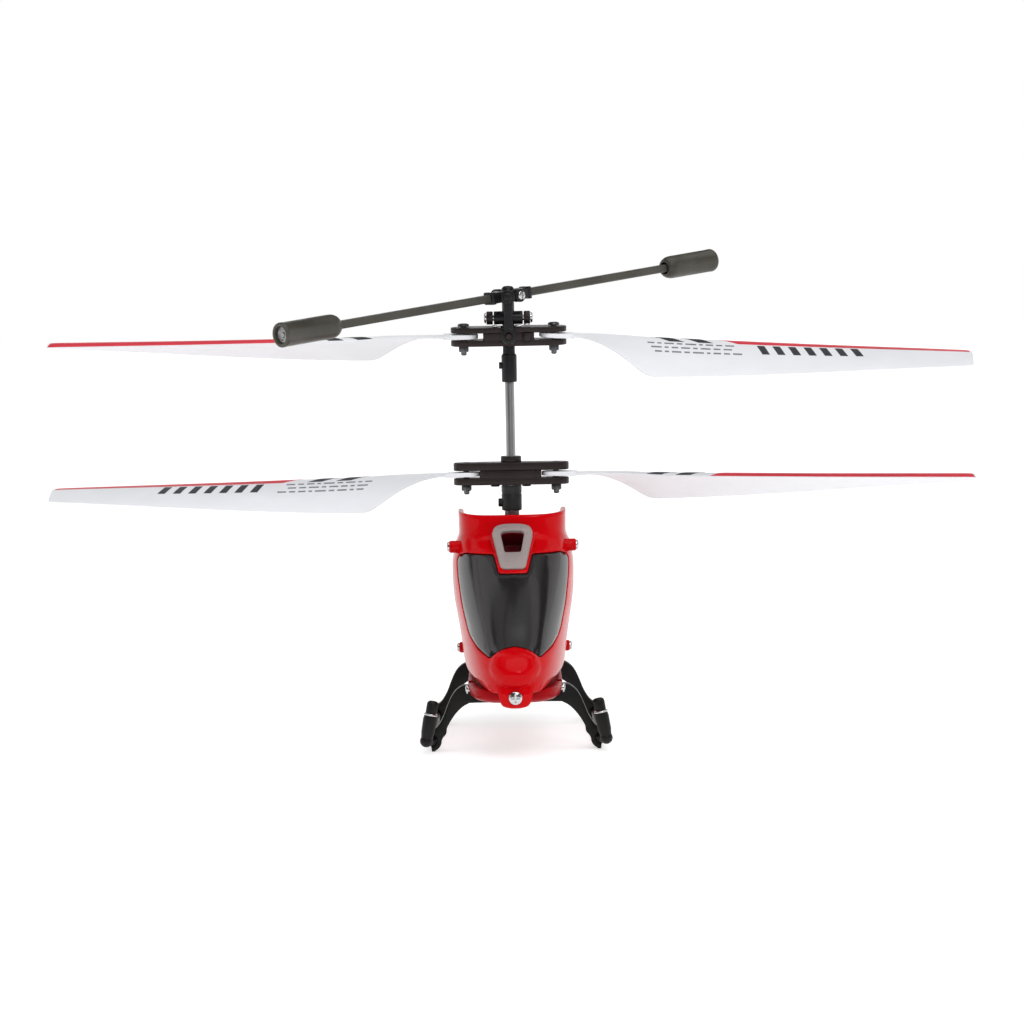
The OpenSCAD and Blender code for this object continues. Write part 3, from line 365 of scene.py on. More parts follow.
def carve(obj, *cutters):
    """Cuts solids, given as point and face lists in millimetres from the mast, out of a piece."""
    for cutter in cutters:
        mesh = bpy.data.meshes.new("cutter")
        mesh.from_pydata([at(*p) for p in cutter[0]], [], cutter[1])
        work = bmesh.new()
        work.from_mesh(mesh)
        bmesh.ops.remove_doubles(work, verts=work.verts, dist=0.0005 * MM)
        bmesh.ops.recalc_face_normals(work, faces=work.faces)
        work.to_mesh(mesh)
        work.free()
        tool = bpy.data.objects.new("cutter", mesh)
        bpy.context.scene.collection.objects.link(tool)
        cut = obj.modifiers.new("cut", "BOOLEAN")
        cut.operation = "DIFFERENCE"
        cut.object = tool
        cut.solver = "EXACT"
        bpy.context.view_layer.update()
        made = bpy.data.meshes.new_from_object(obj.evaluated_get(bpy.context.evaluated_depsgraph_get()))
        obj.modifiers.remove(cut)
        old = obj.data
        obj.data = made
        made.name = obj.name
        bpy.data.meshes.remove(old)
        bpy.data.objects.remove(tool)
        bpy.data.meshes.remove(mesh)
    obj.data.shade_smooth()
    obj.data.set_sharp_from_angle(angle=math.radians(38))
    return obj


# ---- Canopy ----

LOW_Z, TOP_Z = 13.6, 44.7
canopy_w = smooth_curve([(12, 8.6), (13.6, 9.3), (16, 10.2), (20, 10.8), (24, 11.5), (28, 12.2), (31, 12.45),
                         (34, 12.5), (36.4, 12.25), (38.5, 11.8), (41, 11), (TOP_Z, 11.05)])
canopy_front = smooth_curve([(12, -46.5), (14, -48.6), (17, -48.8), (20, -46.6), (22, -43), (26, -36.4), (30, -29.6),
                             (34, -22.6), (37.6, -16), (39.2, -12), (40.4, -9.6), (41.4, -9), (TOP_Z, -8.6)])
canopy_mid = smooth_curve([(13, 2), (20, 6), (30, 8), (TOP_Z, 8)])
canopy_rear = smooth_curve([(13, 4), (20, 10), (33, 21), (38, 16), (TOP_Z, 8.5)])
canopy_power = smooth_curve([(13, 2.6), (24, 2.5), (36, 2.6), (41, 3.6), (TOP_Z, 4)])
SHELL_T = 1.0
SIDE_SPAN = 0.35  # how much of the girth parameter the straight sides take


def front_stretch(z):
    """How far the wall runs along Y for one millimetre of its thickness."""
    return math.hypot(1, (canopy_front(z + 0.6) - canopy_front(z - 0.6)) / 1.2)


LOBE_Z, LOBE_W, LOBE_H = 18.3, 4.9, 3.6


def nose_lobe(x, z):
    """The round swelling on the nose, as a push along -Y."""
    return 1.5 * math.sqrt(max(0.0, 1 - (x / LOBE_W) ** 2 - ((z - LOBE_Z) / LOBE_H) ** 2))


def skin(t, z, depth=0.0):
    """A point of the canopy: t runs round it from -1 to 1 with the nose at 0, and further along its straight sides."""
    side = -1 if t < 0 else 1
    e = 2 / canopy_power(z)
    w, mid = canopy_w(z) - depth, canopy_mid(z)
    if abs(t) > 1:
        s = (abs(t) - 1) / SIDE_SPAN
        length = canopy_rear(z) - mid
        return side * (w - 0.06 * length * s * s), mid + length * s, z + rim_lift(side * w, z)
    a = math.pi / 2 * abs(t)
    x = side * w * math.sin(a) ** e
    reach = mid - canopy_front(z) - depth * front_stretch(z)
    y = mid - reach * max(math.cos(a), 0) ** e - nose_lobe(x, z)
    return x, y, z + rim_lift(x, z)


def rim_lift(x, z):
    """The top rim rises to its corners, and the bottom rim rises beside the nose."""
    out = abs(x) / 11
    return 0.5 * ease((z - 42) / 2.7) * clamp(out) ** 5 + 1.1 * ease((15.6 - z) / 2) * ease((abs(x) - 4.4) / 3.2)


def girth_of(x, z):
    """The girth parameter of the point with this x on the front half."""
    share = clamp(abs(x) / canopy_w(z)) ** (canopy_power(z) / 2)
    return math.copysign(math.asin(share) / (math.pi / 2), x)


WINDOW = filleted(
    mirrored([(2.9, 34.2), (3.9, 37.6), (9.5, 37.6), (10.9, 37.1), (11.4, 35.8), (11.2, 33), (10.4, 28), (9.3, 23.9),
              (8.7, 22.6), (7.2, 20.9), (4.95, 19.7), (3.9, 20.65), (2.5, 21.4), (0, 21.9)]), 0.5, 4)


def dense(outline, step):
    """A closed outline with points no further apart than a step."""
    out = []
    for i, start in enumerate(outline):
        a, b = Vector(start), Vector(outline[(i + 1) % len(outline)])
        if (b - a).length < 1e-6:
            continue
        parts = max(1, math.ceil((b - a).length / step))
        out += [tuple(a.lerp(b, k / parts)) for k in range(parts)]
    return out


def grown(outline, distance):
    """A closed front-view outline pushed outward by a distance measured along the canopy's skin."""
    out = []
    count = len(outline)
    for i, (x, z) in enumerate(outline):
        ahead, behind = Vector(outline[(i + 1) % count]), Vector(outline[i - 1])
        run = (ahead - behind).normalized()
        normal = Vector((run.y, -run.x)) * OUTWARD
        step = 0.05
        near = Vector(skin(girth_of(x, z), z))
        far = Vector(skin(girth_of(x + step * normal.x, z + step * normal.y), z + step * normal.y))
        stretch = max(1.0, (far - near).length / step)
        out.append((x + normal.x * distance / stretch, z + normal.y * distance / stretch))
    return out


def area(outline):
    return sum(a[0] * b[1] - b[0] * a[1] for a, b in zip(outline, outline[1:] + outline[:1])) / 2


WINDOW = dense(WINDOW, 0.35)
OUTWARD = 1 if area(WINDOW) > 0 else -1


def inside(x, z, outline):
    hit = False
    for (x0, z0), (x1, z1) in zip(outline, outline[1:] + outline[:1]):
        if (z0 > z) != (z1 > z) and x < x0 + (z - z0) * (x1 - x0) / (z1 - z0):
            hit = not hit
    return hit


def triangulated(loops, grid, clear):
    """Triangles in the (girth, height) plane through closed loops and those grid points that are clear of them."""
    flat = [Vector((girth_of(x, z) * GIRTH_SCALE, z)) for loop in loops for x, z in loop]
    edges = []
    base = 0
    for loop in loops:
        edges += [(base + i, base + (i + 1) % len(loop)) for i in range(len(loop))]
        base += len(loop)
    fixed = KDTree(len(flat))
    for i, p in enumerate(flat):
        fixed.insert((*p, 0), i)
    fixed.balance()
    flat += [p for p in grid if fixed.find((*p, 0))[2] > clear]
    points, _, faces, *_ = delaunay_2d_cdt(flat, edges, [], 0, 1e-6)
    return [(p.x / GIRTH_SCALE, p.y) for p in points], [list(f) for f in faces]


GIRTH_SCALE = 32.0
GRID_STEP = 0.55
T_END = 1 + SIDE_SPAN
columns = round(2 * T_END * GIRTH_SCALE / GRID_STEP)
rows = round((TOP_Z - LOW_Z) / GRID_STEP)
skin_grid = [
    Vector(((-T_END + 2 * T_END * i / columns) * GIRTH_SCALE, LOW_Z + (TOP_Z - LOW_Z) * k / rows))
    for i in range(columns + 1)
    for k in range(rows + 1)
]
lobe_rings = [
    [(LOBE_W * s * math.cos(math.tau * k / 72), LOBE_Z + LOBE_H * s * math.sin(math.tau * k / 72)) for k in range(72)]
    for s in (0.5, 0.7, 0.83, 0.92, 0.97, 0.995)
]

# The canopy's skin runs up to the window, rounds over its lip and goes down beside the screen
LIP_R, LIP_DEPTH = 0.3, 0.85
lip_steps = (0.0, 0.05, 0.13, 0.22, 0.3)
lip_loops = [grown(WINDOW, s) for s in lip_steps]


def lip_drop(s):
    return LIP_R - math.sqrt(max(0.0, LIP_R**2 - (LIP_R - s) ** 2))


flat_points, flat_faces = triangulated(lip_loops + lobe_rings, skin_grid, 0.3)
lip_at = {}
for s, loop in zip(lip_steps, lip_loops):
    for x, z in loop:
        lip_at[(round(girth_of(x, z), 5), round(z, 4))] = lip_drop(s)


def depth_of(t, z):
    return lip_at.get((round(t, 5), round(z, 4)), 0.0)


# The roof island, its bezel and the intake lie in one slanted plane: widths and runs up that plane
BEZEL_TOP, BEZEL_BOTTOM = (-9.83, 42.7), (-20.03, 34.4)
slope = math.atan2(BEZEL_TOP[1] - BEZEL_BOTTOM[1], BEZEL_TOP[0] - BEZEL_BOTTOM[0])
BEZEL_LENGTH = math.dist(BEZEL_TOP, BEZEL_BOTTOM)
ON_BEZEL = Matrix.Translation((0, *BEZEL_BOTTOM)) @ Matrix.Rotation(slope, 4, "X")
TO_BEZEL = ON_BEZEL.inverted()
BEZEL = mirrored([(2.45, 0), (4.15, 10.6), (3.6, 12.4), (2.2, 13.1), (0, BEZEL_LENGTH + 0.1)])
INTAKE = mirrored([(1.6, 4.9), (2.35, 10.3), (1.9, 11), (0, 11.2)])
ISLAND = mirrored([(2.75, 0.35), (4.6, 10.7), (4, 12.9), (2.4, 13.5), (0, 13.6)])
ISLAND_CORE = mirrored([(2.25, 0.2), (4.05, 10.6), (3.5, 12.5), (2.1, 13.0), (0, 13.1)])


def sunk(point, floor):
    """A point of the skin, taken down to a floor where the island covers it."""
    place = TO_BEZEL @ Vector(point)
    if place.z > floor and place.z < 4 and inside(place.x, place.y, ISLAND_CORE):
        place.z = floor
    return tuple(ON_BEZEL @ place)


outer_points = [sunk(skin(t, z, depth_of(t, z)), -4.0) for t, z in flat_points]
front_xz = [(skin(t, z)[0], z) if abs(t) <= 1 else (99, z) for t, z in flat_points]
outer_faces = []
for face in flat_faces:
    x = sum(front_xz[i][0] for i in face) / len(face)
    z = sum(front_xz[i][1] for i in face) / len(face)
    if not inside(x, z, WINDOW):
        outer_faces.append(face)

# The lip's wall, then the inner skin, and the rounded rims that join the two skins
wall_rings = [[skin(girth_of(x, z), z, d) for x, z in lip_loops[0]] for d in (LIP_R, LIP_DEPTH)]
wall = strip(wall_rings)
wall = (wall[0], wall[1][:-2])
inner_cols, inner_rows = 90, 44
inner_grid = [
    [sunk(skin(-T_END + 2 * T_END * i / inner_cols, LOW_Z + (TOP_Z - LOW_Z) * k / inner_rows, SHELL_T), -4.4)
     for i in range(inner_cols + 1)]
    for k in range(inner_rows + 1)
]
inner = (
    [p for row in inner_grid for p in row],
    [[k * (inner_cols + 1) + i, k * (inner_cols + 1) + i + 1, (k + 1) * (inner_cols + 1) + i + 1,
      (k + 1) * (inner_cols + 1) + i] for k in range(inner_rows) for i in range(inner_cols)],
)


def rim_loop(depth, out):
    """The canopy's whole border at a depth, pushed out past the edge."""
    loop = []
    for i in range(columns + 1):
        t = -T_END + 2 * T_END * i / columns
        x, y, h = skin(t, LOW_Z, depth)
        loop.append((x, y, h - out))
    for k in range(rows + 1):
        x, y, h = skin(T_END, LOW_Z + (TOP_Z - LOW_Z) * k / rows, depth)
        loop.append((x, y + out, h))
    for i in range(columns + 1):
        t = T_END - 2 * T_END * i / columns
        x, y, h = skin(t, TOP_Z, depth)
        loop.append((x, y, h + out))
    for k in range(rows + 1):
        x, y, h = skin(-T_END, TOP_Z - (TOP_Z - LOW_Z) * k / rows, depth)
        loop.append((x, y + out, h))
    return loop


rim = strip([rim_loop(0, 0), rim_loop(0.12, 0.16), rim_loop(0.35, 0.26), rim_loop(0.65, 0.26), rim_loop(0.88, 0.16),
             rim_loop(SHELL_T, 0)])
rim = (rim[0], rim[1][:-2])
canopy_shell = piece("canopy_shell", *joined((outer_points, outer_faces), wall, inner, rim), AIR, "red_gloss",
                     ["canopy"], sharp=50)

# The screen fills the window with its own rounded edge
screen_steps = (-0.06, -0.1, -0.2, -0.34, -0.5)
screen_loops = [grown(WINDOW, s) for s in screen_steps]
screen_at = {}
for s, loop in zip(screen_steps, screen_loops):
    for x, z in loop:
        screen_at[(round(girth_of(x, z), 5), round(z, 4))] = 0.05 + 0.35 * (1 - math.sqrt(clamp((-s - 0.06) / 0.44)))
flat_points, flat_faces = triangulated(screen_loops, skin_grid, 0.3)
front_xz = [(skin(t, z)[0], z) if abs(t) <= 1 else (99, z) for t, z in flat_points]


def screen_point(t, z, depth):
    """The canopy's skin without its nose lobe."""
    x, y, h = skin(t, z, depth)
    return x, y + nose_lobe(x, z), h


kept = [
    face for face in flat_faces
    if inside(sum(front_xz[i][0] for i in face) / len(face), sum(front_xz[i][1] for i in face) / len(face),
              screen_loops[0])
]
glass = ([screen_point(t, z, screen_at.get((round(t, 5), round(z, 4)), 0.05)) for t, z in flat_points], kept)
edge = strip([[screen_point(girth_of(x, z), z, d) for x, z in screen_loops[0]] for d in (0.4, 0.8)])
back = ([screen_point(t, z, 0.8) for t, z in flat_points], kept)
screen = piece("screen", *joined(glass, (edge[0], edge[1][:-2]), back), AIR, "smoked_screen", ["windscreen"], sharp=50)
for obj in (canopy_shell, screen):
    loose = bmesh.new()
    loose.from_mesh(obj.data)
    bmesh.ops.delete(loose, geom=[v for v in loose.verts if not v.link_faces], context="VERTS")
    bmesh.ops.recalc_face_normals(loose, faces=loose.faces)
    loose.to_mesh(obj.data)
    loose.free()

# ---- Canopy fittings ----

# The island under the bezel is a red frame a little wider than it, open in the middle
piece("roof_island", *moved(slab(filleted(ISLAND, 0.8), -3.0, -0.04, 0.3, [filleted(INTAKE, 0.5)]), ON_BEZEL), AIR,
      "red_gloss")
piece("bezel", *moved(slab(filleted(BEZEL, 0.9), 0, 0.9, 0.24, [filleted(INTAKE, 0.5)]), ON_BEZEL), AIR,
      "taupe_plastic", ["intake_bezel"])

# The intake is a cup coloured almost black-red: painted shade for the deep shade inside it
duct = [moved(([(x * s, 8 + (y - 8) * s, h) for x, y in filleted(INTAKE, 0.5)], []), ON_BEZEL)[0]
        for s, h in ((0.98, -0.1), (0.98, -3.2), (0.9, -3.4), (0.02, -3.4), (0.02, -3.7), (1.05, -3.7), (1.05, -0.1))]
# Painted shade: this near-black red stands in for the shade inside the intake
DUCT_PAINTED_SHADE = finish_of("duct_painted_shade", (0.07, 0.0006, 0.004), rough=(0.5, 0.6), depth=0.01, Specular_IOR_Level=0.1)
piece("intake_duct", *strip(duct, closed=True), AIR, "dark_red_plastic", finish=DUCT_PAINTED_SHADE)


def screw_head(radius, height, shank_r, shank):
    """A domed cross-head screw about Z: its seat is at 0, its head above and its shank below."""
    dome = [(radius * math.cos(a), 0.35 * height + 0.65 * height * math.sin(a))
            for a in (math.radians(d) for d in (0, 20, 40, 60, 78))]
    profile = [(1e-4, -shank), (shank_r, -shank), (shank_r, 0), (radius, 0)] + dome + [(1e-4, height)]
    return lathe(profile, 32)


def cross_cut(radius, height):
    """The solids that cut a cross recess into a screw head."""
    bars = []
    for half_x, half_y in ((0.72 * radius, 0.16 * radius), (0.16 * radius, 0.72 * radius)):
        low, high = 0.02 * height, height + 1
        ring = [(-half_x, -half_y), (half_x, -half_y), (half_x, half_y), (-half_x, half_y)]
        small = [(x * 0.8, y * 0.8) for x, y in ring]
        bars.append(strip([[(x, y, low) for x, y in small], [(x, y, high) for x, y in ring]]))
    return bars


def screws(name, spots, slot, stands_for, body=AIR):
    """Cross-head screws as one piece. A spot is (matrix, head radius, head height, shank radius, shank length)."""
    obj = piece(name, *joined(*[moved(screw_head(r, h, sr, sl), m) for m, r, h, sr, sl in spots]), body, slot,
                stands_for)
    return carve(obj, *[moved(bar, m) for m, r, h, _, _ in spots for bar in cross_cut(r, h)])


BOSSES = ((-4, 38.4, 10.0, 12.9, 1.25), (0, 17.4, 9.6, 11.3, 1.1))
SIDES = (-1, 1)
boss_parts, boss_spots = [], []
for side in SIDES:
    for y, z, x0, x1, r in BOSSES:
        tall = x1 - x0
        profile = [(r * 1.25, 0), (r * 1.05, 0.35), (r, 0.7), (r, tall - 0.2), (r - 0.2, tall), (0.55, tall), (0.55, 0)]
        boss_parts.append(moved(lathe(profile, 36, hollow=True), along((side, 0, 0), (side * x0, y, z))))
        boss_spots.append((along((side, 0, 0), (side * x1, y, z)), r * 0.8, 0.6, 0.5, 3.2))
piece("canopy_bosses", *joined(*boss_parts), AIR, "red_gloss")
screws("canopy_fixings", boss_spots, "chrome_screw", ["canopy_screws"])

# The chin lug grows out of the nose and holds the front screw
lug_w = smooth_curve([(10.55, 1.2), (10.7, 1.85), (11, 2.45), (11.5, 2.85), (12.6, 3.2), (14, 3.5), (15.8, 3.9)])
LUG_FRONT, LUG_BACK = -48.95, -45.5


def lug_ring(z):
    """The lug at a height: flat in front of the screw, and melting into the nose at its top."""
    melt = ease((z - 13.3) / 2.4)
    ring = [(lug_w(z), LUG_BACK, z), (-lug_w(z), LUG_BACK, z)]
    for k in range(21):
        x = lug_w(z) * (k / 10 - 1) * (1 - 0.02 * abs(k / 10 - 1))
        flat = LUG_FRONT + 0.9 * abs(x / lug_w(z)) ** 5 + 0.9 * clamp((11.4 - z) / 0.85) ** 2.5
        skinned = skin(girth_of(x, max(z, LOW_Z)), max(z, LOW_Z))[1] + 0.12
        ring.append((x, flat + (skinned - flat) * melt, z))
    return ring


lug_levels = [10.55, 10.62, 10.75, 10.95, 11.2, 11.6, 12, 12.6, 13.2] + [13.5 + 0.3 * k for k in range(8)] + [15.8]
carve(piece("chin_lug", *strip([lug_ring(z) for z in lug_levels]), AIR, "red_gloss"),
      moved(lathe([(1e-4, 0), (0.66, 0), (0.66, 6), (1e-4, 6)], 24), along((0, -1, 0), (0, -45, 12.7))))
NOSE_SCREW = along((0, -1, 0), (0, -48.95, 12.7))
screws("chin_screw", [(NOSE_SCREW, 1.32, 0.7, 0.6, 8.4)], "chrome_screw", ["nose_screw"])

# ---- Belly tray ----

TRAY_W, TRAY_BACK = 9.3, 15
STRUT_Y = (-28, 12)


def tray_ring(shrink, z):
    """The tray's outline at a height: round at the nose, straight along the sides."""
    front_half = [
        ((TRAY_W - shrink) * math.copysign(abs(math.sin(a)) ** 0.5, math.sin(a)),
         -20 - (23 - shrink * 1.4) * max(math.cos(a), 0) ** 0.5)
        for a in (math.radians(-90 + 5 * k) for k in range(37))
    ]
    ring = [(-TRAY_W + shrink, TRAY_BACK)] + front_half + [(TRAY_W - shrink, TRAY_BACK)]
    return [(x, y, z) for x, y in ring]


tray_levels = [(0.9, 13.5), (0.25, 13.52), (0.05, 13.4), (0, 13.1), (0.05, 12.3), (0.35, 11.6), (1.0, 11.05),
               (2.0, 10.7), (3.4, 10.58)]
tray = piece("tray", *strip([tray_ring(s, z) for s, z in tray_levels]), AIR, "dark_red_plastic", ["belly_tray"],
             sharp=45)


def pocket(x0, x1, y0, y1, low, high):
    """A plain block to cut with."""
    return strip([[(x0, y0, h), (x1, y0, h), (x1, y1, h), (x0, y1, h)] for h in (low, high)])


shaft_hole = lathe([(1e-4, 9), (2.4, 9), (2.4, 16), (1e-4, 16)])
strut_slots = [pocket(s * 8.2, s * 9.6, y - 1.62, y + 1.62, 10, 14) for s in SIDES for y in STRUT_Y]
carve(tray, pocket(-6, 6, -37, -14, 12.2, 15), shaft_hole, *strut_slots)

# ---- Landing skids ----

RUNNER_X, RUNNER_Z, RUNNER_R = 16.8, 2.15, 1.05
RAIL_FRONT, RAIL_BACK = -30.7, 25
TOE = (17.6, -33.5, 2.7)
TOE_LEAN = math.radians(11)
STRUT_TOP = [(8.9, 12.9), (10.3, 12.9), (11.7, 12), (12.7, 10.6), (13.5, 8.8), (14.3, 6.8), (15.4, 5), (16.4, 4.25)]
STRUT_LOW = [(14.75, 1.9), (14.4, 2.7), (13.75, 3.5), (13.6, 4.5), (13, 5.7), (11.9, 7.3), (10.6, 8.6), (9.4, 9.3),
             (8.2, 9.5), (0, 9.5)]


def spline_path(points, steps):
    """A smooth path through points in a plane."""
    out = []
    for i in range(len(points) - 1):
        a, b, c, d = (Vector(points[min(max(i + k, 0), len(points) - 1)]) for k in (-1, 0, 1, 2))
        for s in range(steps):
            t = s / steps
            out.append(tuple(b + t * (c - a) / 2 + t * t * (a - 2.5 * b + 2 * c - d / 2)
                             + t**3 * (3 * b - a - 3 * c + d) / 2))
    return out + [tuple(points[-1])]


def claw(start, end, radius):
    """Points round the runner's clip, between two angles in degrees."""
    count = max(2, round(abs(end - start) / 9))
    return arc(radius, start, (end - start) / count, count + 1, (RUNNER_X, RUNNER_Z))


CLIP_R = RUNNER_R + 0.03
strut_half = (
    [(0, 10.55), (8.05, 10.55), (8.05, 12.9)]
    + spline_path(STRUT_TOP, 4)
    + claw(95, 62, 2.15)
    + claw(62, 270, CLIP_R)
    + [(RUNNER_X - 0.15, 0), (RUNNER_X - 0.8, 0)]
    + claw(244, 195, 2.15)
    + spline_path(STRUT_LOW, 4)
)


def strut_piece(name, y, node):
    front_on = Matrix.Translation((0, y, 0)) @ Matrix.Rotation(math.pi / 2, 4, "X")
    half = [p for p in strut_half if p[0] > 1e-6]
    outline = [(0, 10.55)] + half + [(0, 9.5)] + [(-x, z) for x, z in reversed(half)]
    return piece(name, *moved(slab(outline, -1.5, 1.5, 0.24), front_on), AIR, "skid_plastic", [node], sharp=45)


strut_piece("strut_front", STRUT_Y[0], "front_strut")
strut_piece("strut_rear", STRUT_Y[1], "rear_strut")
rail_length = RAIL_BACK - RAIL_FRONT
dome = [(RUNNER_R * math.sin(a), RUNNER_R * (1 - math.cos(a))) for a in (math.radians(15 * k) for k in range(1, 7))]
rail_profile = ([(1e-4, 0)] + dome + [(r, rail_length - h) for r, h in reversed(dome)] + [(1e-4, rail_length)])
ring_profile = [(1.18 + 0.22 * x, 5.27 + 0.23 * y) for x, y in arc(1, 0, 30, 12)]
caps, rings = [], []
for side, node in ((-1, "runner_left"), (1, "runner_right")):
    rail = moved(lathe(rail_profile, 36), along((0, 1, 0), (side * RUNNER_X, RAIL_FRONT, RUNNER_Z)))
    toe = Vector((side * TOE[0], *TOE[1:]))
    bend = Vector((side * RUNNER_X, -29.7, RUNNER_Z))
    rod = moved(lathe([(1e-4, 0), (0.95, 0), (0.8, 1.2), (0.8, (toe - bend).length), (1e-4, (toe - bend).length)], 28),
                along(toe - bend, bend))
    up = Matrix.Translation(toe) @ Matrix.Rotation(-side * TOE_LEAN, 4, "Y")
    ball = moved(lathe([(max(1e-4, 1.25 * math.sin(a)), -1.25 * math.cos(a))
                        for a in (math.pi * k / 14 for k in range(15))], 32), up)
    boot = moved(lathe([(1e-4, -0.2), (1.05, -0.2), (1.16, 0.9), (1.3, 1.7), (1.38, 4.4), (1.28, 4.95), (0.7, 5.0),
                        (0.7, 6.4), (1e-4, 6.4)], 36), up)
    piece("skid_" + node[7:], *joined(rail, rod, ball, boot), AIR, "skid_plastic", [node], sharp=45)
    rings.append(moved(lathe(ring_profile, 36, hollow=True), up))
    caps.append(moved(lathe([(0.75, 5.54), (1.02, 5.54), (1.12, 5.64), (1.14, 7.35), (1.02, 7.7), (0.8, 7.9),
                             (0.7, 7.96), (1e-4, 7.98), (1e-4, 6.6), (0.75, 6.6)], 36), up))
piece("toe_tops", *joined(*caps), AIR, "skid_plastic", ["toe_caps"])
piece("toe_rings", *joined(*rings), AIR, "chrome_screw")

# ---- Blades ----

ROTOR_R, BOLT_X, BLADE_T = 94.5, 9.2, 0.9
UPPER_BLADE_Z, LOWER_BLADE_Z = 81.05, 52.85
LOWER_AZIMUTH = math.radians(-4)
UPPER_DROOP, LOWER_DROOP = math.radians(3.1), math.radians(1)
leading = smooth_curve([(12, 2.6), (16, 2.5), (29, 1.8), (60, 0.95), (93, 0.05), (ROTOR_R, -0.6)])
trailing = smooth_curve([(12, -3), (14, -3.2), (17, -5), (20.5, -8.8), (24.5, -13.4), (27.6, -16.5), (28.6, -16.9),
                         (29.6, -16.95), (31, -16.85), (93.5, -12.5), (ROTOR_R, -12)])
pitch_slope = smooth_curve([(r, math.tan(math.radians(a))) for r, a in ((12, 0), (14, 1.5), (20, 10), (29, 20),
                                                                        (ROTOR_R, 9.5))])
half_thick = smooth_curve([(12, BLADE_T / 2), (29, 0.4), (ROTOR_R, 0.25)])
nose_drop = smooth_curve([(14, 0), (22, 0.5), (32, 1.15), (60, 1.0), (ROTOR_R, 0.75)])
NOSE_SPAN = 3.2  # how far behind the leading edge the nose of the section turns down


def blade_mid(r, back):
    """A point of the blade's middle surface, back behind the leading edge."""
    chord = leading(r) - trailing(r)
    share = back / chord
    y = leading(r) - back
    z = y * pitch_slope(r) + 0.12 * chord * share * (1 - share) * clamp((r - 12) / 12)
    return y, z - nose_drop(r) * clamp(1 - back / NOSE_SPAN) ** 2


def blade_skin(r, back, side, lift=0.0):
    """A point on the blade's upper (+1) or lower (-1) skin, or a lift off it."""
    chord = leading(r) - trailing(r)
    share = clamp(back / chord)
    y, z = blade_mid(r, back)
    ahead, z_ahead = blade_mid(r, back + 0.05)
    run = Vector((ahead - y, z_ahead - z)).normalized()
    half = half_thick(r) * (0.22 + 0.78 * math.sqrt(max(0, 4 * share * (1 - share))) * (1 - 0.45 * share))
    half = side * half + lift
    return r - clamp((r - 92.5) / 2) * share, y + run.y * half, z - run.x * half


shares = [0, 0.004, 0.015, 0.035, 0.065, 0.1, 0.15, 0.22, 0.32, 0.45, 0.6, 0.75, 0.88, 0.96, 1]
stations = ([12.4, 13, 14, 15, 16, 17.5, 19, 20.5, 22, 23.5, 25, 26.4, 27.4, 28.2, 28.9, 29.6, 30.5, 32, 34, 37]
            + [40 + 3.5 * k for k in range(15)] + [91.5, 93, 93.9, ROTOR_R])


def blade_rings():
    rings = []
    for r in stations:
        chord = leading(r) - trailing(r)
        upper, lower = ([blade_skin(r, s * chord, side) for s in shares] for side in (1, -1))
        rings.append(upper + lower[::-1])
    return rings


BLADE = strip(blade_rings())
ROOT = slab(
    filleted(arc(3, 90, 15, 13, (BOLT_X, 0)) + [(13.4, -3.05), (13.4, 2.62)], 0.4, 2),
    -BLADE_T / 2, BLADE_T / 2, 0.14, [circle(0.66, (BOLT_X, 0))])
BOLT_RIM = standing(lathe([(0.66, 0.4), (1.5, 0.4), (1.5, 0.52), (0.66, 0.52)], 28, hollow=True), BOLT_X)


def printed(low, high, start, end, slant=0.0, end_slant=None, lift=0.035, steps=None):
    """A thin printed patch on the upper skin, from r low to high and from start to end behind the leading edge."""
    across = max(2, round((end - start) / 0.3))
    n = steps or max(2, round((high - low) / 2))
    end_slant = slant if end_slant is None else end_slant
    rings = []
    for k in range(across + 1):
        back = start + (end - start) * k / across
        first, last = low + slant * k / across, high + end_slant * k / across
        places = [first + (last - first) * i / n for i in range(n + 1)]
        top, under = ([blade_skin(r, back, 1, h) for r in places] for h in (lift, -0.05))
        rings.append(top + under[::-1])
    return strip(rings)


MARKS = [printed(r, r + 3, 0.35, 4.4, 5) for r in (27.7, 33.6)]
# Plain bars and dashes stand where a printed notice would be
DASH_SIZE = 0.62
LONG_ROW, SHORT_ROW = (1.4, 0.8, 1.9, 1.1, 2.2, 0.7, 1.5, 1.2, 1.8), (2.1, 0.8, 1.3, 1.8, 0.9, 2.0, 1.4, 1.7)
DASH_ROWS = ((28.2, 5.2, LONG_ROW), (28.9, 7.1, SHORT_ROW), (29.6, 9.0, LONG_ROW))
dashes = []
for r, back, lengths in DASH_ROWS:
    for length in lengths:
        dashes.append(printed(r, r + length, back, back + DASH_SIZE, steps=2))
        r += length + DASH_SIZE
BAR_START, BAR_STEP, BAR_WIDTH = 50.4, 3.15, 1.5
bar_places = [BAR_START + BAR_STEP * k for k in range(7)]
bars = [printed(r, r + BAR_WIDTH, 4.9, 9.1, 0.9, steps=2) for r in bar_places]
STRIPE = printed(40.6, 94.2, 0.12, 4.3, 6, -0.5, steps=48)

GRIP_TILT = math.radians(6.5 * math.sin(math.radians(42)))
FEATHER_Z = 84.7
IN_GRIP = (Matrix.Translation((0, 0, FEATHER_Z)) @ Matrix.Rotation(GRIP_TILT, 4, "X")
           @ Matrix.Translation((0, 0, -FEATHER_Z)))
TURN = Matrix.Rotation(math.pi, 4, "Z")
FLIP = Matrix.Scale(-1, 4, (0, 1, 0))


def drooped(angle):
    return Matrix.Translation((BOLT_X, 0, 0)) @ Matrix.Rotation(angle, 4, "Y") @ Matrix.Translation((-BOLT_X, 0, 0))


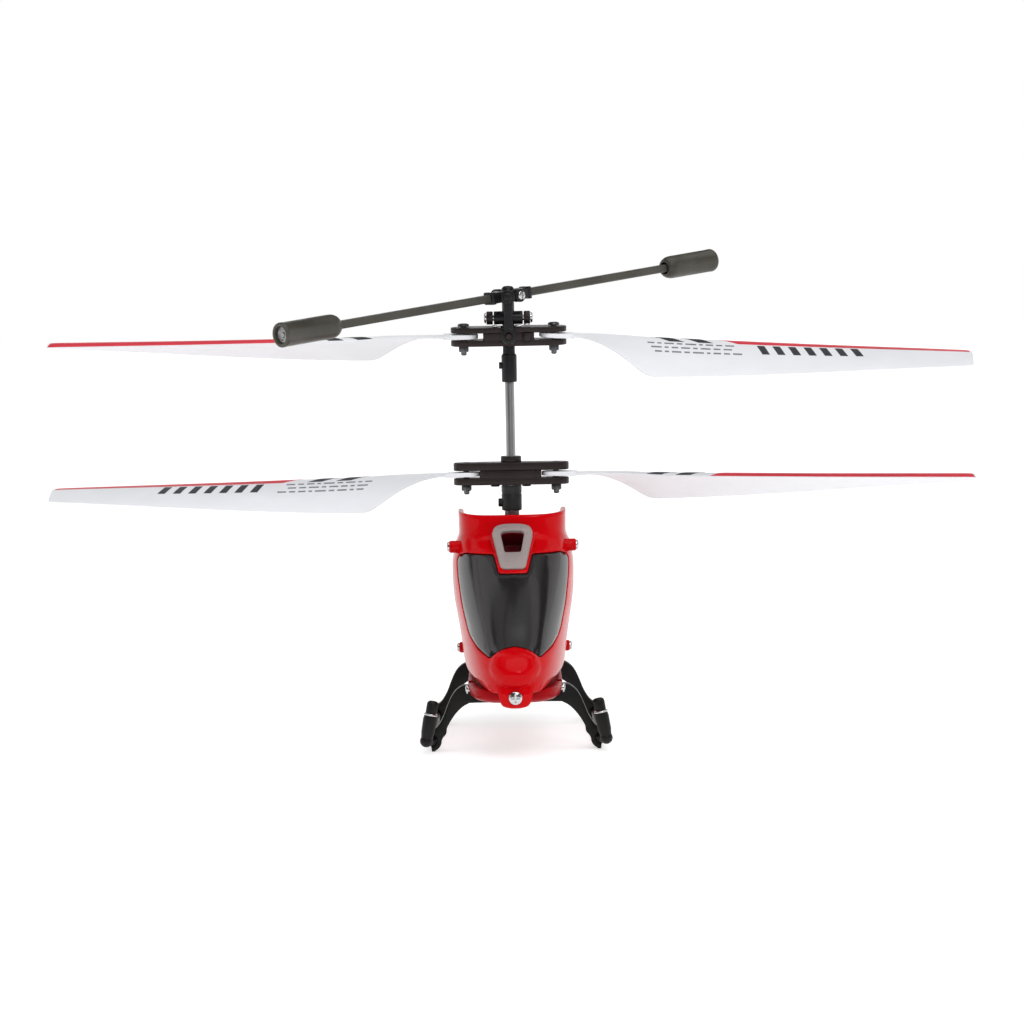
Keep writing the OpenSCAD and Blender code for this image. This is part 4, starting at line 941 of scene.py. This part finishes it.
UPPER = IN_GRIP @ Matrix.Translation((0, 0, UPPER_BLADE_Z))
LOWER = Matrix.Translation((0, 0, LOWER_BLADE_Z)) @ Matrix.Rotation(LOWER_AZIMUTH, 4, "Z")
BLADES = [
    ("upper_right", UPPER @ drooped(UPPER_DROOP)),
    ("upper_left", UPPER @ TURN),
    ("lower_right", LOWER @ FLIP @ drooped(LOWER_DROOP)),
    ("lower_left", LOWER @ TURN @ FLIP @ drooped(LOWER_DROOP)),
]
PRINT_RED = finish_of("print_red", (0.62, 0.025, 0.045), vary=0.06, rough=(0.3, 0.4), depth=0.004)
PRINT_DARK = finish_of("print_dark", (0.035, 0.035, 0.042), vary=0.15, rough=(0.35, 0.45), depth=0.004)
PRINT_GREY = finish_of("print_grey", (0.2, 0.2, 0.22), vary=0.15, rough=(0.35, 0.45), depth=0.004)
for name, where in BLADES:
    level, side = name.split("_")
    body = side + "_" + level + "_blade"
    piece("blade_" + name, *joined(BLADE, ROOT, BOLT_RIM), body, "white_blade", [level + "_blade_" + side], where,
          sharp=50)
    piece("stripe_" + name, *STRIPE, body, "white_blade", where=where, finish=PRINT_RED, sharp=60)
    piece("marks_" + name, *joined(*MARKS), body, "white_blade", where=where, finish=PRINT_DARK, sharp=60)
    piece("bars_" + name, *joined(*bars), body, "white_blade", where=where, finish=PRINT_DARK, sharp=60)
    piece("dashes_" + name, *joined(*dashes), body, "white_blade", where=where, finish=PRINT_GREY, sharp=60)

# ---- Flybar ----

FLYBAR_Z = 89.2
IN_FLYBAR = (Matrix.Translation((0, 0, FLYBAR_Z)) @ Matrix.Rotation(math.radians(42), 4, "Z")
             @ Matrix.Rotation(math.radians(-6.5), 4, "Y"))
weights, slugs, rods = [], [], []
for turn in (0, math.pi):
    outward = IN_FLYBAR @ Matrix.Rotation(turn, 4, "Z") @ Matrix.Rotation(math.pi / 2, 4, "Y")
    shell = [(1.3, 45.2), (1.5, 45.22), (1.8, 45.4), (2.05, 45.75), (2.28, 46.3), (2.36, 46.8), (2.4, 47.5),
             (2.4, 58.6), (2.44, 58.66), (2.44, 59.2), (2.36, 59.4), (2.16, 59.5), (1.9, 59.5), (1.74, 59.4),
             (1.66, 59.1), (1.62, 50), (1.3, 49.6)]
    weights.append(moved(lathe(shell, 44, hollow=True), outward))
    slug = [(1e-4, 50.7), (1.58, 50.7), (1.58, 58.6), (1.48, 58.9), (1.15, 58.95), (1.0, 58.75), (0.62, 58.72),
            (0.5, 58.9), (1e-4, 58.92)]
    slugs.append(moved(lathe(slug, 36), outward))
    ends = [3.5, 3.9, 44, 49.2]
    section = [(0.62, 0.8), (0.85, 0.58), (0.85, -0.58), (0.62, -0.8), (-0.62, -0.8), (-0.85, -0.58), (-0.85, 0.58),
               (-0.62, 0.8)]
    rods.append(moved(strip([[(x, y, z) for y, z in section] for x in ends]),
                      IN_FLYBAR @ Matrix.Rotation(turn, 4, "Z")))
piece("flybar_ends", *joined(*weights), "flybar", "smoky_plastic", ["flybar_weights"], sharp=40)
piece("flybar_cores", *joined(*slugs), "flybar", "slug_metal", ["flybar_slugs"])
piece("flybar_bars", *joined(*rods), "flybar", "smoky_plastic", ["flybar_rods"], sharp=30)

# ---- Flybar hub and rotor head ----

TEETER_R, STUD_R, STUD_Y, STUD_DROP = 0.5, 0.6, 4.4, 3.4
FLYBAR_AZIMUTH, FLYBAR_TILT = math.radians(42), math.radians(6.5)


def tube(r_out, low, high, r_in=0.0, edge=0.15):
    """A turned bar, or a ring when it has a bore, with softened edges."""
    steps = [math.radians(a) for a in (0, 30, 60, 90)]
    upper = [(r_out - edge + edge * math.cos(a), high - edge + edge * math.sin(a)) for a in steps]
    lower = [(r_out - edge + edge * math.cos(a), low + edge - edge * math.sin(a)) for a in reversed(steps)]
    if r_in:
        return lathe([(r_in, low)] + lower + upper + [(r_in, high)], 36, hollow=True)
    return lathe([(1e-4, low)] + lower + upper + [(1e-4, high)], 36)


def box_of(low, high, edge=0.15):
    """A block with softened edges, from its lowest to its highest corner."""
    outline = filleted([(low[0], low[1]), (high[0], low[1]), (high[0], high[1]), (low[0], high[1])], edge * 1.6, 3)
    return slab(outline, low[2], high[2], edge)


def span(s, near, far):
    """The same two distances on one side, in rising order."""
    return sorted((s * near, s * far))


def on_x(part, y, z):
    """A part turned about Z, laid along +X at a height."""
    return moved(part, along((1, 0, 0), (0, y, z)))


def on_y(part, x, z):
    """A part turned about Z, laid along +Y."""
    return moved(part, Matrix.Translation((x, 0, z)) @ Matrix.Rotation(-math.pi / 2, 4, "X"))


def link_ends(s):
    """Heights of a link's eyes: the one on the grip and the one on the flybar."""
    low = FEATHER_Z - STUD_DROP * math.cos(GRIP_TILT) + s * STUD_Y * math.sin(GRIP_TILT)
    return low, FLYBAR_Z + s * STUD_Y * math.sin(FLYBAR_AZIMUTH) * math.sin(FLYBAR_TILT)


HUB_HALF = filleted([(5.3, -1.35), (5.3, 1.35), (2.9, 1.35), (1.7, 2.7), (0, 3.15), (-1.7, 2.7), (-2.9, 1.35),
                     (-5.3, 1.35), (-5.3, -1.35), (-2.9, -1.35), (-1.7, -2.7), (0, -3.15), (1.7, -2.7), (2.9, -1.35)],
                    0.7, 4)
hub_parts = [moved(slab(HUB_HALF, -1.1, 1.1, 0.22, [circle(1.9)]), IN_FLYBAR)]
for s in SIDES:
    a, b = span(s, 4.4, 5.42)
    cap = [(0.5, s * 5.02), (0.95, s * 5.04), (1.0, s * 5.3), (0.9, s * 5.7), (0.55, s * 5.95), (0.5, s * 5.9)]
    hub_parts += [
        moved(box_of((a, -1.45, -1.25), (b, 1.45, 1.25), 0.2), IN_FLYBAR),
        moved(on_y(tube(1.35, *span(s, 2.3, 4), TEETER_R + 0.03), 0, 0), IN_FLYBAR),
        on_y(tube(STUD_R, *span(s, 2.4, 5.9)), 0, link_ends(s)[1]),
        on_y(lathe(cap, 32, hollow=True), 0, link_ends(s)[1]),
    ]
piece("flybar_centre", *joined(*hub_parts), "flybar", "head_plastic", ["flybar_hub"])

sleeve = lathe([(0.95, 71.6), (1.4, 71.6), (1.55, 71.75), (1.57, 76.9), (1.5, 77.2), (1.28, 77.35), (1.24, 78.2),
                (1.24, 88.6), (1.2, 89.4), (1.35, 89.6), (1.42, 90.2), (1.2, 90.8), (0.85, 91.1), (1e-4, 91.2)], 40)
head_parts = [
    sleeve,
    on_x(tube(1.35, -2.95, 2.95), 0, FEATHER_Z),
    on_x(lathe([(1.36, -0.9), (1.5, -0.8), (1.5, 0.8), (1.36, 0.9)], 36, hollow=True), 0, FEATHER_Z),
    on_x(tube(0.7, -2.1, 0), 0, 75),
]
piece("head_post", *joined(*head_parts), "upper_rotor", "head_plastic", ["rotor_head"])

head_spots = [(along((s, 0, 0), (s * 4.52, 0, FEATHER_Z)), 1.05, 0.55, STUD_R, 2.9) for s in SIDES]
for s in SIDES:
    pivot = IN_FLYBAR @ Matrix.Translation((0, s * 4.05, 0)) @ Matrix.Rotation(-s * math.pi / 2, 4, "X")
    head_spots.append((pivot, 0.92, 0.45, TEETER_R, 3.1))
screws("head_fixings", head_spots, "chrome_screw", ["head_screws"], "upper_rotor")

for s, name in ((-1, "front"), (1, "rear")):
    low, high = link_ends(s)
    near, far = s * STUD_Y - 0.6, s * STUD_Y + 0.6
    tall = high - low
    waist = filleted([(-1.0, 0.9), (-0.82, tall * 0.5), (-0.95, tall - 0.8), (0.95, tall - 0.8), (0.82, tall * 0.5),
                      (1.0, 0.9)], 0.3)
    laid = Matrix.Translation((0, far, low)) @ Matrix.Rotation(math.pi / 2, 4, "X")
    piece("ball_link_" + name,
          *joined(on_y(tube(1.6, near, far, 0.8, 0.2), 0, low), on_y(tube(1.45, near, far, 0.8, 0.2), 0, high),
                  moved(slab(waist, 0.1, 1.1, 0.2), laid)),
          name + "_link", "grip_plastic", ["link_" + name], finish=FINISHES["head_plastic"])

# ---- Grips ----

half_plan = [(4.5, -3.0), (7.6, -2.92)] + arc(2.6, -84, 8, 22, (BOLT_X, 0)) + [(7.6, 2.92), (4.5, 3.0)]
GRIP_PLAN = half_plan + [(-x, -y) for x, y in half_plan]
BOLT_HOLES = [circle(0.63, (s * BOLT_X, 0), 24) for s in SIDES]


def grip_bolt(low, high):
    """A cap screw down through a grip, with a hexagon nut under it; the grip lies between the two heights."""
    corners = [math.tau * (k + 0.5) / 6 for k in range(6)]
    nut = strip([[(r * math.cos(a), r * math.sin(a), h) for a in corners]
                 for r, h in ((0.95, low - 1.22), (1.15, low - 1.05), (1.15, low - 0.2), (1.0, low - 0.02))])
    shank = lathe([(1e-4, low - 1.95), (0.42, low - 1.95), (0.58, low - 1.75), (0.6, high), (1.15, high + 0.02),
                   (1.2, high + 0.2), (1.1, high + 0.42), (0.8, high + 0.52), (0.72, high + 0.3),
                   (1e-4, high + 0.28)], 32)
    return joined(nut, shank)


PIN_PLACE = (3.7, -2.7)
POST_HOLE = filleted([(-1.5, -2.15), (1.5, -2.15), (1.5, 2.15), (-1.5, 2.15)], 0.3, 3)
web_half = filleted([(5.2, -2.9), (5.2, 2.9), (-5.2, 2.9), (-5.2, -2.9)], 0.5, 3)
bottom_parts = [
    slab(GRIP_PLAN, 79.1, 80.3, 0.18, [POST_HOLE] + BOLT_HOLES),
    slab(web_half, 80.2, 81.78, 0.14, [POST_HOLE]),
    standing(tube(0.95, 80.2, 81.78), *PIN_PLACE),
]
for s in SIDES:
    bottom_parts.append(on_y(tube(STUD_R, *span(s, 2.5, 5.9)), 0, FEATHER_Z - STUD_DROP))
    bottom_parts.append(standing(tube(1.45, 79.0, 79.3, 0.64, 0.08), s * BOLT_X))
piece("grip_low", *joined(*bottom_parts), "upper_grip", "grip_plastic", ["upper_grip_bottom"], IN_GRIP)
stud_groove = on_y(lathe([(1e-4, -4), (0.66, -4), (0.66, 4), (1e-4, 4)], 28), 0, FEATHER_Z - STUD_DROP)
top_parts = [slab(GRIP_PLAN, 81.8, 82.9, 0.18, [POST_HOLE] + BOLT_HOLES)]
for s in SIDES:
    a, b = span(s, 3.15, 4.45)
    top_parts += [
        on_x(tube(1.35, a, b, 0.66, 0.15), 0, FEATHER_Z),
        box_of((a + 0.1, -1.05, 82.6), (b - 0.1, 1.05, FEATHER_Z - 0.9), 0.15),
        standing(tube(1.75, 82.7, 83.15, 0.64, 0.14), s * BOLT_X),
    ]
top_parts.append(standing(tube(0.92, 82.6, 83.4), *PIN_PLACE))
carve(piece("grip_high", *joined(*top_parts), "upper_grip", "grip_plastic", ["upper_grip_top"], IN_GRIP),
      moved(stud_groove, IN_GRIP))
bolts = [standing(grip_bolt(79.1, 83.12), s * BOLT_X) for s in SIDES]
piece("grip_bolts", *joined(*bolts), "upper_grip", "dark_bolt", ["upper_grip_bolts"], IN_GRIP)
pins = [standing(tube(0.62, 83.38, 83.75, edge=0.12), *PIN_PLACE)]
pins += [on_x(tube(0.3, a, b, edge=0.1), -2.0, 83.15) for a, b in ((-3.3, -2.3), (1.3, 2.6))]
piece("grip_pins", *joined(*pins), "upper_grip", "chrome_screw", where=IN_GRIP)

LOWER_TURN = Matrix.Rotation(LOWER_AZIMUTH, 4, "Z")
low_parts = [
    slab(GRIP_PLAN, 50.7, 52.1, 0.2, [circle(1.53)] + BOLT_HOLES),
    slab(web_half, 52.0, 53.6, 0.14, [circle(1.53)]),
]
for s in SIDES:
    low_parts.append(standing(tube(0.82, 52.0, 53.6), s * 5.5, -2.2))
    low_parts.append(standing(tube(0.9, 50.35, 50.75), s * 3.2, -1.6))
piece("lower_plate", *joined(*low_parts), "lower_rotor", "grip_plastic", ["lower_grip_bottom"], LOWER_TURN)
high_parts = [
    slab(GRIP_PLAN, 53.62, 55.27, 0.25, [circle(1.53)] + BOLT_HOLES),
    tube(2.1, 55.1, 56.5, 1.53, 0.2),
]
piece("upper_plate", *joined(*high_parts), "lower_rotor", "grip_plastic", ["lower_grip_top"], LOWER_TURN)
bolts = [standing(grip_bolt(50.7, 54.78), s * BOLT_X) for s in SIDES]
piece("plate_bolts", *joined(*bolts), "lower_rotor", "dark_bolt", ["lower_grip_bolts"], LOWER_TURN)
collar = lathe([(1.53, 45.4), (1.9, 45.4), (2.05, 45.55), (2.07, 48.6), (2.0, 48.75), (2.0, 49.0), (2.07, 49.15),
                (2.07, 50.4), (1.95, 50.5), (1.53, 50.5)], 40, hollow=True)
collar_lug = on_x(tube(0.85, -2.75, -1.75, 0.42, 0.15), 0, 47)
piece("collar", *joined(collar, collar_lug), "lower_rotor", "black_plastic", ["mast_collar"])
inner = lathe([(1e-4, 12.8), (0.8, 12.8), (0.93, 12.95), (0.93, 76.8), (0.85, 77), (1e-4, 77)], 40)
outer = lathe([(0.98, 25), (1.4, 25), (1.5, 25.1), (1.5, 56.4), (1.42, 56.5), (0.98, 56.5)], 40, hollow=True)
piece("inner_mast", *inner, "upper_rotor", "shaft_steel", ["inner_shaft"])
piece("outer_mast", *outer, "lower_rotor", "shaft_steel", ["outer_shaft"])

# ---- Frame, drive and electronics, inside the canopy ----

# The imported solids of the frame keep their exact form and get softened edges
SOFTENED = {
    "side_plate_left": 0.12, "side_plate_right": 0.12, "top_deck": 0.15, "motor_block": 0.2, "bottom_deck": 0.12,
    "boom_clamp": 0.25, "charge_socket": 0.2, "switch_body": 0.15, "outer_gear": 0.05, "inner_gear": 0.05,
    "receiver_board": 0.08, "tail_motor_housing": 0.15, "shaft_bearings": 0.05,
}
for name, width in SOFTENED.items():
    obj = nodes[name]
    weld = obj.modifiers.new("weld", "WELD")
    weld.merge_threshold = 0.002 * MM
    bevel = obj.modifiers.new("soft_edges", "BEVEL")
    bevel.width = width * MM
    bevel.segments = 2
    bevel.limit_method = "ANGLE"
    bevel.angle_limit = math.radians(40)


def motor_can(y, low, high, up, radius=3.5, shaft_gap=0.47):
    """A drawn motor can with a crimped end plate and a bearing boss on its shaft side."""
    s, face, back = (1, high, low) if up else (-1, low, high)
    front_half = [(shaft_gap, -3), (shaft_gap, 0.38), (1.1, 0.4), (1.2, 0.3), (1.22, 0), (radius - 0.6, 0),
                  (radius - 0.2, -0.12), (radius, -0.5)]
    back_half = [(radius, 1.4), (radius - 0.12, 1.25), (radius - 0.12, 0.9), (radius, 0.8), (radius - 0.05, 0.15),
                 (radius - 0.3, 0), (1.4, 0), (1.3, 0.3), (0.02, 0.3)]
    profile = [(r, face + s * h) for r, h in front_half] + [(r, back + s * h) for r, h in back_half]
    return standing(lathe(profile + [(0.02, face - s * 3)], 44, hollow=True), 0, y)


MOTOR_Y = 7.35
piece("front_motor", *motor_can(-MOTOR_Y, 19.2, 34, False), AIR, "motor_can", ["motor_front"])
piece("rear_motor", *motor_can(MOTOR_Y, 18.4, 33.4, True), AIR, "motor_can", ["motor_rear"])


def gear_ring(teeth, module, turn, h):
    """One level of a spur gear."""
    pitch = teeth * module / 2
    tip, root = pitch + 0.85 * module, pitch - 1.2 * module
    ring = []
    for i in range(teeth):
        a = math.tau * i / teeth + turn
        for r, half in ((root, -0.27), (tip, -0.09), (tip, 0.09), (root, 0.27)):
            ring.append((r * math.cos(a + half / r), r * math.sin(a + half / r), h))
    return ring


for name, y, low, shaft_low_z, turn in (("rear", MOTOR_Y, 34.2, 31, 10), ("front", -MOTOR_Y, 15.1, 16, 30)):
    ends = [gear_ring(9, 0.3, math.radians(turn), low + 3.2 * k) for k in (0, 1)]
    pinion = standing(joined(strip(ends), tube(0.4, shaft_low_z, shaft_low_z + 6, edge=0.08)), 0, y)
    piece("pinion_gear_" + name, *pinion, name + "_pinion", "brass_pinion", ["pinion_" + name], sharp=25)

# The battery is a soft pouch with folded seams at its sides
pouch = []
for y in (-36.7, -36.4, -35.6, -34, -25.5, -17, -15.4, -14.6, -14.3):
    swell = 1 - (abs(y + 25.5) / 11.3) ** 6
    ring = []
    for k in range(40):
        a = math.tau * k / 40
        x = 5.5 * math.copysign(abs(math.cos(a)) ** 0.35, math.cos(a)) * (0.86 + 0.14 * swell)
        z = 15.93 + 3.6 * math.copysign(abs(math.sin(a)) ** 0.5, math.sin(a)) * (0.72 + 0.28 * swell)
        ring.append((x, y, z))
    pouch.append(ring)
piece("battery_pouch", *strip(pouch), AIR, "battery_foil", ["battery"], sharp=60)

CHIPS = ((-2, -27, 4, 4, 0.9), (3, -28, 2.2, 3, 0.8), (-2.6, -20, 3.4, 2.4, 0.9), (2.8, -21, 2, 2, 1.1),
         (3, -17, 2.6, 1.6, 0.7), (0, -23.6, 3, 1.4, 0.6))
CHIP_Z = 20.48
chips = [box_of((x - w / 2, y - d / 2, CHIP_Z), (x + w / 2, y + d / 2, CHIP_Z + h), 0.08) for x, y, w, d, h in CHIPS]
eye = [(1e-4, CHIP_Z), (1.5, CHIP_Z), (1.5, CHIP_Z + 1.9)]
eye += [(1.5 * x, CHIP_Z + 1.9 + 1.3 * y) for x, y in arc(1, 18, 18, 4)] + [(1e-4, CHIP_Z + 3.2)]
chips.append(standing(lathe(eye, 32), 0, -31))
piece("board_parts", *joined(*chips), AIR, "chip_plastic", ["board_chips"])

lamp = [(1e-4, 39.2), (1.35, 39.2), (1.5, 39.3), (1.5, 40.1), (1.42, 40.2), (1.42, 44)]
lamp += [(1.42 * x, 44 + 1.48 * y) for x, y in arc(1, 15, 15, 5)] + [(1e-4, 45.5)]
piece("nose_lamp", *moved(lathe(lamp, 32), along((0, -1, 0), (0, 0, 18.6))), AIR, "clear_lens", ["nose_led"])

frame_spots = [(along((s, 0, 0), (s * 7.7, y, z)), 1.0, 0.55, 0.5, 2.7)
               for s in SIDES for y, z in ((0, 42), (0, 26.5), (21.5, 23.9))]
frame_spots += [(along((s, 0, 0), (s * 9.32, y - 2.6, 12.35)), 0.95, 0.55, 0.5, 2.1) for s in SIDES for y in STRUT_Y]
screws("frame_fixings", frame_spots, "chrome_screw", ["frame_screws"])

SWITCH_FRONT = 17.35
knob = [box_of((-9.35, SWITCH_FRONT, 16.95), (-7.8, SWITCH_FRONT + 2, 18.05), 0.08)]
knob += [box_of((-10.2, SWITCH_FRONT + 0.66 * k, 16.95), (-9.3, SWITCH_FRONT + 0.66 * k + 0.68, 18.05), 0.12)
         for k in range(3)]
piece("slider", *joined(*knob), "switch_slider", "white_knob", ["switch_knob"])

# ---- Tail ----

BOOM_Z, BOOM_R, TAIL_Y = 20, 1.5, 138
piece("boom", *on_y(tube(BOOM_R, 18.7, TAIL_Y - 2.7, edge=0.2), 0, BOOM_Z), AIR, "boom_aluminium", ["tail_boom"])
ROD_START, ROD_END = Vector((5, 24, 16.6)), Vector((3.1, 116, 18.6))
rods = []
for s in SIDES:
    start, end = (Vector((s * p.x, p.y, p.z)) for p in (ROD_START, ROD_END))
    rods.append(moved(tube(0.6, 0, (end - start).length, edge=0.15), along(end - start, start)))
piece("brace_rods", *joined(*rods), AIR, "carbon_rod", ["boom_struts"])

WING = filleted([(-13, 124), (-13, 118), (-3, 112), (3, 112), (13, 118), (13, 124), (3, 126), (-3, 126)], 1.6)
wing_parts = [slab(WING, BOOM_Z - 0.4, BOOM_Z + 0.4, 0.2),
              on_y(tube(2.3, 111.9, 126.1, 1.52, 0.3), 0, BOOM_Z)]
for s in SIDES:
    a, b = span(s, 1.6, 4.1)
    wing_parts.append(box_of((a, 114.5, 17.6), (b, 118.5, 19.9), 0.3))
wing = piece("stabiliser", *joined(*wing_parts), AIR, "red_gloss", ["tail_stabiliser"])
carve(wing, on_y(lathe([(1e-4, 108), (1.515, 108), (1.515, 130), (1e-4, 130)], 36), 0, BOOM_Z))

FIN = spline_path([(141.4, 18.4), (142, 22.4), (152, 24.6), (158, 31), (162.5, 37.4), (166, 38.4), (168, 36.6),
                   (165.2, 24), (161, 11), (157, 8.6), (149, 12), (141.4, 18.4)], 5)[:-1]
UPRIGHT = Matrix(((0, 0, 1, 0), (1, 0, 0, 0), (0, 1, 0, 0), (0, 0, 0, 1)))
piece("fin", *moved(slab(FIN, -0.4, 0.4, 0.2, [circle(2, (152, 18.5), 36)]), UPRIGHT), AIR, "red_gloss", ["tail_fin"])
piece("tail_motor_can", *motor_can(TAIL_Y, 16.6, 24.6, True, 2.2), AIR, "motor_can", ["tail_motor"])


def prop_ring(share):
    """A section of a small twisted tail blade, from its root to its round tip."""
    chord = 1 + 10.6 * share * (1 - share) ** 0.8 if share < 1 else 0.4
    pitch = math.radians(30 - 18 * ease(share))
    ring = []
    for k in range(20):
        a = math.tau * k / 20
        along_chord, up = 0.5 * chord * math.cos(a), 0.27 * (1 - 0.4 * share) * math.sin(a)
        ring.append((1.1 + 11.9 * share, along_chord * math.cos(pitch) - up * math.sin(pitch),
                     26.2 + along_chord * math.sin(pitch) + up * math.cos(pitch)))
    return ring


prop = [prop_ring(share) for share in (0, 0.06, 0.14, 0.24, 0.36, 0.5, 0.64, 0.78, 0.88, 0.95, 0.985, 1)]
prop_parts = [tube(0.4, 22.4, 26.4, edge=0.08),
              lathe([(1e-4, 25.2), (1.2, 25.2), (1.3, 25.3), (1.3, 26.6), (1.1, 27.0), (0.6, 27.2), (1e-4, 27.2)], 36),
              strip(prop), moved(strip(prop), TURN)]
piece("tail_prop_blades", *standing(joined(*prop_parts), 0, TAIL_Y), "tail_prop", "black_plastic", ["tail_rotor"])

# ---- Floor, light and camera ----

CAMERA_BACK = 680
CAMERA_HIGH = 90
AIM_HIGH = 45
CAMERA_ROLL = math.radians(-1.1)

camera_data = bpy.data.cameras.new("camera")
camera_data.sensor_width = 36
camera_data.lens = 117.1
camera = bpy.data.objects.new("camera", camera_data)
camera.location = at(0, -CAMERA_BACK, CAMERA_HIGH)
look = at(0, 0, AIM_HIGH) - camera.location
camera.rotation_mode = "QUATERNION"
camera.rotation_quaternion = look.to_track_quat("-Z", "Y") @ Quaternion((0, 0, 1), CAMERA_ROLL)
bpy.context.scene.collection.objects.link(camera)
bpy.context.scene.camera = camera
bpy.context.scene.view_settings.view_transform = "Standard"

# A soft sun from above lights the floor evenly, and one box lights the front
sun_data = bpy.data.lights.new("sky_light", "SUN")
sun_data.energy = 1.15
sun_data.angle = math.radians(70)
sun = bpy.data.objects.new("sky_light", sun_data)
sun.rotation_euler = (math.radians(14), math.radians(8), 0)
bpy.context.scene.collection.objects.link(sun)


def softbox(name, place, aim, size, power):
    """A square area light."""
    data = bpy.data.lights.new(name, "AREA")
    data.size = size
    data.energy = power
    lamp = bpy.data.objects.new(name, data)
    lamp.location = place
    lamp.rotation_mode = "QUATERNION"
    lamp.rotation_quaternion = (aim - place).to_track_quat("-Z", "Y")
    bpy.context.scene.collection.objects.link(lamp)


softbox("front_box", at(250, -900, 700), at(0, 0, 45), 0.35, 2.1)

# The world is a white tent: plain to the camera and to matt surfaces, with a dark gap under its roof in reflections
world = bpy.data.worlds.new("studio")
world.use_nodes = True
tree = world.node_tree
background = tree.nodes["Background"]
background.inputs["Color"].default_value = (1, 1, 1, 1)
way = tree.nodes.new("ShaderNodeTexCoord")
split = tree.nodes.new("ShaderNodeSeparateXYZ")
tree.links.new(way.outputs["Generated"], split.inputs["Vector"])
roof = tree.nodes.new("ShaderNodeValToRGB")
stops = [(0.0, 1.0), (0.36, 1.0), (0.5, 0.03), (0.74, 0.03), (0.84, 0.42), (1.0, 0.5)]
while len(roof.color_ramp.elements) < len(stops):
    roof.color_ramp.elements.new(0.5)
for element, (place, level) in zip(roof.color_ramp.elements, stops):
    element.position = place
    element.color = (level, level, level, 1)
tree.links.new(split.outputs["Z"], roof.inputs["Fac"])
front = add_node(tree, "ShaderNodeMapRange")
front.inputs["From Min"].default_value = -0.75
front.inputs["From Max"].default_value = -0.1
front.inputs["To Min"].default_value = 0.1
front.inputs["To Max"].default_value = 1.0
tree.links.new(split.outputs["Y"], front.inputs["Value"])
tent = tree.nodes.new("ShaderNodeMath")
tent.operation = "MULTIPLY"
tree.links.new(roof.outputs["Color"], tent.inputs[0])
tree.links.new(front.outputs["Result"], tent.inputs[1])
rays = tree.nodes.new("ShaderNodeLightPath")
choose = tree.nodes.new("ShaderNodeMix")
choose.inputs["A"].default_value = 0.66
tree.links.new(rays.outputs["Is Glossy Ray"], choose.inputs["Factor"])
tree.links.new(tent.outputs["Value"], choose.inputs["B"])
seen = tree.nodes.new("ShaderNodeMix")
seen.inputs["B"].default_value = 1.0
tree.links.new(rays.outputs["Is Camera Ray"], seen.inputs["Factor"])
tree.links.new(choose.outputs["Result"], seen.inputs["A"])
tree.links.new(seen.outputs["Result"], background.inputs["Strength"])
bpy.context.scene.world = world

FLOOR_HALF = 6.0
floor_mesh = bpy.data.meshes.new("floor")
floor_mesh.from_pydata(
    [(x * FLOOR_HALF, y * FLOOR_HALF, 0) for x, y in ((-1, -1), (1, -1), (1, 1), (-1, 1))], [], [(0, 1, 2, 3)]
)
floor = bpy.data.objects.new("floor", floor_mesh)
floor_mesh.materials.append(
    finish_of(
        "floor_paper", (0.62, 0.62, 0.62), vary=0.01, patch=4.0, rough=(0.85, 0.95), depth=0.0,
        Emission_Color=(1, 1, 1, 1), Emission_Strength=0.6,
    )
)
bpy.context.scene.collection.objects.link(floor)

bpy.context.view_layer.update()
